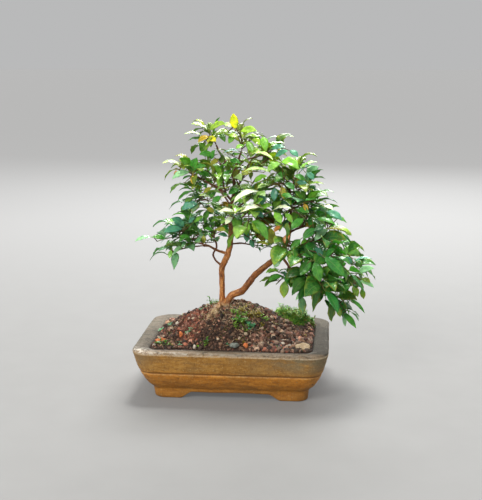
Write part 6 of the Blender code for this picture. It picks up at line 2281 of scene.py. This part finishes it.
def place_front_leaves(canopy, shoots):
    """Puts in the leaves of the table, and takes away the leaf nearest each and those that it crosses.

    Returns the grown leaves that are left, the posed leaves, and twigs to these from the nearest shoot.
    """
    others = [(name, leaf, skin_of(leaf)) for name, leaves in canopy.items() for leaf in leaves]
    stems = [(name, shoot.centre(t / 10)) for name in canopy for shoot in shoots[name] for t in range(1, 11)]
    placed, twigs = {name: [] for name in canopy}, {name: [] for name in canopy}
    joined = set()
    for row in FRONT_LEAVES:
        middle = front_leaf(row, 0.0).midrib(0.5)
        apart = [(other.midrib(0.5) - middle).length for _, other, _ in others]
        if min(apart) < POSED_WITHIN:
            others.pop(apart.index(min(apart)))
        leaf = least_crossing(row, others)
        for index in reversed(overlapping(leaf, others)):
            others.pop(index)
        name, start = min(stems, key=lambda stem: (stem[1] - leaf.root).length)
        placed[name].append((leaf, row[-1]))
        others.append(("", leaf, skin_of(leaf)))
        key = tuple(round(c) for c in leaf.root)
        if (leaf.root - start).length > 2.0 and key not in joined:
            heading = ((leaf.root - start).normalized() + Vector((0.0, 0.0, 0.3))).normalized()
            end = leaf.root + leaf.start * 0.5
            twigs[name].append(Shoot("twig", start, heading, end, FRONT_TWIG, (), TWIG_HABIT))
            joined.add(key)
    kept = {name: [leaf for owner, leaf, _ in others if owner == name] for name in canopy}
    return kept, placed, twigs


def leaf_tone(leaf, rng):
    """A leaf's colour by where it hangs on the tree, painted sunlight and sky reflection included, and how
    mottled with age it is.
    """
    x, y, z = leaf.midrib(0.5)
    # painted sunlight: leaves in the middle and towards the front take the pale palette
    sunlit = math.exp(-(((x - 20) / 40.0) ** 2) - ((z - 238) / 34.0) ** 2) * smooth_step(10.0, -30.0, y)
    at_left = smooth_step(-22.0, -45.0, x) * smooth_step(250.0, 215.0, z)
    at_right = smooth_step(55.0, 85.0, x) * smooth_step(250.0, 205.0, z)
    weights = [
        smooth_step(245.0, 290.0, z) * 2.4,
        sunlit * 1.3,
        0.55,
        # painted sky reflection: blue-green leaves at the left, low down and at the back
        at_left * 0.9 + 0.14 * smooth_step(300.0, 270.0, z) + 0.3 * smooth_step(0.0, 40.0, y),
        at_right * 2.2 + 0.12,
    ]
    palettes = (FRESH, PALE, MIDDLE, GREEN_WITH_SKY_SHEEN, DEEP)
    palette = palettes[rng.choice(len(palettes), p=np.array(weights) / sum(weights))]
    age = 0.0
    inner = math.exp(-((x - 25) / 48.0) ** 2 - (y / 28.0) ** 2 - ((z - 215) / 55.0) ** 2)
    if rng.uniform() < 0.008 + 0.15 * inner:
        palette = OLD
        age = rng.uniform(0.5, 1.0)
    elif rng.uniform() < 0.2 + 0.25 * weights[4]:
        age = rng.uniform(0.15, 0.55)
    tone = np.array(palette).T @ rng.dirichlet(np.ones(len(palette)) * 0.7)
    return tone * rng.uniform(0.62, 1.24) * (1.0 - 0.16 * smooth_step(235.0, 275.0, z)), age


def leaf_material():
    """A glossy leaf: paler midrib and side veins, mottled with age, matt and paler underneath."""
    g = Graph("leaf", (0.12, 0.28, 0.04), 0.34)
    (_, _, _, age), tone = g.read("tone")
    (u, v, face, kind), _ = g.read("place")
    at = g.position()
    across = g.math("ABSOLUTE", u)
    midrib = g.between(across, 0.060, 0.015)
    climb = g.math("SUBTRACT", g.times(v, 11.0), g.times(across, 2.1))
    wave = g.math("ABSOLUTE", g.math("SUBTRACT", g.math("FRACT", climb), 0.5))
    veins = g.times(g.between(wave, 0.09, 0.0), g.between(across, 0.95, 0.5))
    mottle, fine = g.noise(at, 0.16, 4.0, 0.65), g.noise(at, 0.9, 3.0, 0.6)
    shade = g.ramp(mottle, (0.32, (0.60, 0.68, 0.72)), (0.50, (0.98, 0.98, 0.98)), (0.70, (1.45, 1.26, 1.15)))
    colour = g.mix(g.times(midrib, 0.40), g.shaded(tone, shade), (0.38, 0.54, 0.17))
    colour = g.mix(g.times(veins, 0.28), colour, (0.34, 0.50, 0.13))
    aged = g.times(age, 1.1)
    spots = g.between(g.plus(fine, g.times(age, 0.30)), 0.66, 0.80)
    colour = g.mix(g.times(spots, aged), colour, (0.300, 0.150, 0.040))
    uneven = g.times(g.math("SUBTRACT", mottle, 0.5), 2.0)
    rim = g.between(g.plus(g.times(across, 0.7), g.times(v, 0.5), uneven), 0.55, 1.05)
    colour = g.mix(g.times(rim, aged), colour, (0.52, 0.46, 0.05))
    under = g.math("SUBTRACT", 1.0, face)
    colour = g.mix(g.times(under, 0.30), colour, (0.230, 0.400, 0.120))
    stalk = g.math("GREATER_THAN", kind, 0.5)
    colour = g.mix(g.times(stalk, 0.6), colour, (0.260, 0.220, 0.070))
    bark = g.ramp(g.plus(v, g.times(g.math("SUBTRACT", fine, 0.5), 0.5)), (0.05, (0.110, 0.042, 0.024)),
                  (0.55, (0.200, 0.090, 0.040)), (0.98, (0.210, 0.250, 0.060)))
    colour = g.mix(g.math("GREATER_THAN", kind, 1.5), colour, bark)
    shine = g.plus(g.between(fine, 0.3, 0.7, 0.26, 0.40), g.times(under, 0.25))
    shine = g.math("MAXIMUM", shine, g.times(stalk, 0.5))
    height = g.plus(g.times(midrib, -0.8), g.times(veins, -0.65), g.times(fine, 0.45))
    g.shader.inputs["Specular IOR Level"].default_value = 0.45
    g.shader.inputs["Coat Weight"].default_value = 0.30
    g.shader.inputs["Coat Roughness"].default_value = 0.16
    g.finish(colour, shine, height, 0.5, 0.25)
    add_glow(g, colour, 0.42)
    return g.material


def fill_gaps(canopy, placed, weeds, shoots, weed_shoots):
    """Side twigs and small leaves of each spray, where there is still room between what stands."""
    crowd = standing_crowd()
    standing = [leaf for leaves in list(canopy.values()) + list(weeds.values()) for leaf in leaves]
    for leaf in standing + [leaf for leaves in placed.values() for leaf, _ in leaves]:
        crowd.add(*leaf.trial(0.1), "leaf")
    for shoot in [shoot for some in list(shoots.values()) + list(weed_shoots.values()) for shoot in some]:
        crowd.add(*shoot.trial(1.0), "twig")
    stems = dict(BRANCHES, crown_left=TRUNK[9:], leader_top=SECOND_LEADER[10:])
    twigs, small = {}, {}
    for index, name in enumerate(canopy):
        rng = random.Random(3000 + index)
        end, _, size = SPRAYS[name]
        in_mass = end[2] < 232 and end[0] > 20
        twigs[name] = side_twigs(smooth_path(stems[name], 2.0), SIDE_TWIG_TRIES[in_mass], rng, crowd)
        small[name] = [leaf for twig in twigs[name] for leaf in twig_leaves(twig, size, rng, crowd)]
        for shoot in shoots[name]:
            small[name] += small_leaves(shoot, SMALL_LEAF_TRIES[in_mass], size, rng, crowd)
    return twigs, small


def add_shape(piece, shape, colour, age):
    points, faces, places = shape
    piece.add(points, faces, (*colour, age), places)


def dress_spray(name, shoots, grown, posed, small, material, rng):
    """One spray: its twigs, its grown leaves, those posed by the table, and the small ones between."""
    piece = Piece("leaves_" + name, material)
    for shoot in shoots:
        add_shape(piece, twig_shape(shoot), (0.2, 0.1, 0.05), 0.0)
    for leaf in grown:
        shape = leaf_shape(leaf, rng, fullness=rng.uniform(0.88, 1.18))
        add_shape(piece, shape, *leaf_tone(leaf, rng))
    for leaf, tone in posed:
        shape = leaf_shape(leaf, rng, fullness=rng.uniform(0.90, 1.08), posed=True)
        colour, age = FRONT_TONES[tone]
        add_shape(piece, shape, np.array(colour) * rng.uniform(0.9, 1.1), age)
    for leaf in small:
        shape = leaf_shape(leaf, rng, fullness=rng.uniform(0.85, 1.1), stations=BLADE_STATIONS[1::2])
        add_shape(piece, shape, *leaf_tone(leaf, rng))
    made = piece.make()
    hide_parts("spray_" + name)


def dress_weed(name, shoots, leaves, material, rng):
    piece = Piece(name + "_plant", material)
    for shoot in shoots:
        add_shape(piece, twig_shape(shoot), (0.1, 0.2, 0.05), 0.0)
    for leaf in leaves:
        shape = leaf_shape(leaf, rng, rippling=0.6, fullness=0.7)
        add_shape(piece, shape, np.array((0.13, 0.36, 0.05)) * rng.uniform(0.7, 1.5), 0.1)
    made = piece.make()
    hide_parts(name)


def dress_foliage():
    """Grows the sprays by the part's own rules and gives each its fine twigs and leaves."""
    material = leaf_material()
    crowd = standing_crowd()
    canopy, shoots = grow_canopy(crowd)
    weeds, weed_shoots = grow_weeds(crowd)
    canopy, placed, front_twigs = place_front_leaves(canopy, shoots)
    twigs, small = fill_gaps(canopy, placed, weeds, shoots, weed_shoots)
    for index, (name, grown) in enumerate(canopy.items()):
        rng = np.random.default_rng(500 + index)
        stems = shoots[name] + twigs[name] + front_twigs[name]
        dress_spray(name, stems, grown, placed[name], small[name], material, rng)
    for index, (name, leaves) in enumerate(weeds.items()):
        dress_weed(name, weed_shoots[name], leaves, material, np.random.default_rng(700 + index))


# The stage, the light and the camera

CAMERA_AT = (122.07, -1201.25, 410.98)
CAMERA_DOWN = 0.19333
CAMERA_RIGHT = 0.095386
FOCAL_PIXELS = 973.3
PICTURE_WIDTH, PICTURE_HEIGHT = 482, 500
SENSOR = 36.0
FLOOR_REACH = 40.0
# How brightly the floor and the studio shine
FLOOR_GLOW = 0.10
FAR_GLOW = 0.296
STUDIO_GLOW = 0.54
# Area lights, in metres from the pot's foot: place, aim, size, power and colour
LIGHTS = {
    "key": ((-0.9, -1.8, 1.5), (0.0, 0.0, 0.15), (0.9, 0.9), 46.0, (1.0, 0.985, 0.95)),
    "overhead": ((0.10, 0.40, 1.75), (0.02, 0.0, 0.25), (0.50, 0.50), 48.0, (1.0, 0.99, 0.96)),
    "back_sky": ((0.2, 2.1, 1.30), (0.0, 0.0, 0.2), (1.6, 0.6), 62.0, (0.97, 0.985, 1.0)),
}


def floor_material():
    """A plain pale floor, brighter far away so that it meets the backdrop softly."""
    g = Graph("floor", (0.15, 0.149, 0.146), 0.9)
    at = g.position()
    far = g.between(g.put("VectorMath", {0: at}, operation="LENGTH").outputs["Value"], 120.0, 1500.0)
    near = g.ramp(g.noise(at, 0.02, 3.0), (0.3, (0.150, 0.149, 0.146)), (0.7, (0.158, 0.157, 0.154)))
    g.feed(g.shader.inputs["Base Color"], g.mix(far, near, (0.11, 0.109, 0.107)))
    g.shader.inputs["Emission Color"].default_value = (1.0, 0.995, 0.985, 1.0)
    g.feed(g.shader.inputs["Emission Strength"], g.plus(FLOOR_GLOW, g.times(far, FAR_GLOW)))
    return g.material


def set_stage():
    mesh = bpy.data.meshes.new("floor")
    corners = [(FLOOR_REACH * x, FLOOR_REACH * y, 0) for x, y in ((-1, -1), (1, -1), (1, 1), (-1, 1))]
    mesh.from_pydata(corners, [], [(0, 1, 2, 3)])
    mesh.materials.append(floor_material())
    floor = add_object("floor", mesh)
    world = bpy.data.worlds.new("studio")
    world.use_nodes = True
    backdrop = world.node_tree.nodes["Background"]
    backdrop.inputs["Color"].default_value = (0.90, 0.905, 0.91, 1.0)
    backdrop.inputs["Strength"].default_value = STUDIO_GLOW
    bpy.context.scene.world = world
    bpy.context.scene.view_settings.view_transform = "Standard"


def set_lights():
    for name, (at, aim, size, power, colour) in LIGHTS.items():
        light = bpy.data.lights.new(name, "AREA")
        light.shape = "RECTANGLE"
        light.size, light.size_y = size
        light.energy = power
        light.color = colour
        made = add_object(name, light, Vector(at) + PLACE)
        made.rotation_euler = (Vector(aim) - Vector(at)).to_track_quat("-Z", "Y").to_euler()


def camera_axes():
    """Right, up and ahead of the camera, which is turned to the right and down, and stands upright."""
    sin_down, cos_down = math.sin(CAMERA_DOWN), math.cos(CAMERA_DOWN)
    sin_yaw, cos_yaw = math.sin(-CAMERA_RIGHT), math.cos(-CAMERA_RIGHT)
    ahead = Vector((sin_yaw * cos_down, cos_yaw * cos_down, -sin_down))
    right = Vector((cos_yaw, -sin_yaw, 0.0))
    return right, right.cross(ahead), ahead


def set_camera():
    camera = bpy.data.cameras.new("camera")
    camera.sensor_fit = "AUTO"
    camera.sensor_width = SENSOR
    camera.lens = FOCAL_PIXELS / PICTURE_HEIGHT * SENSOR
    camera.clip_start, camera.clip_end = 0.05, 60.0
    right, above, ahead = camera_axes()
    made = add_object("camera", camera)
    turned = Matrix((right, above, -ahead)).transposed().to_4x4()
    made.matrix_world = Matrix.Translation(Vector(CAMERA_AT) * MM + PLACE) @ turned
    bpy.context.scene.camera = made


def dress():
    set_stage()
    set_lights()
    set_camera()
    grains = grain_material()
    leaflets = leaflet_material()
    dress_pot()
    dress_screens()
    dress_soil(grains)
    dress_grains(grains)
    dress_litter(grains)
    dress_stones()
    dress_moss(leaflets)
    dress_seedlings(leaflets)
    dress_trunk()
    dress_foliage()


dress()
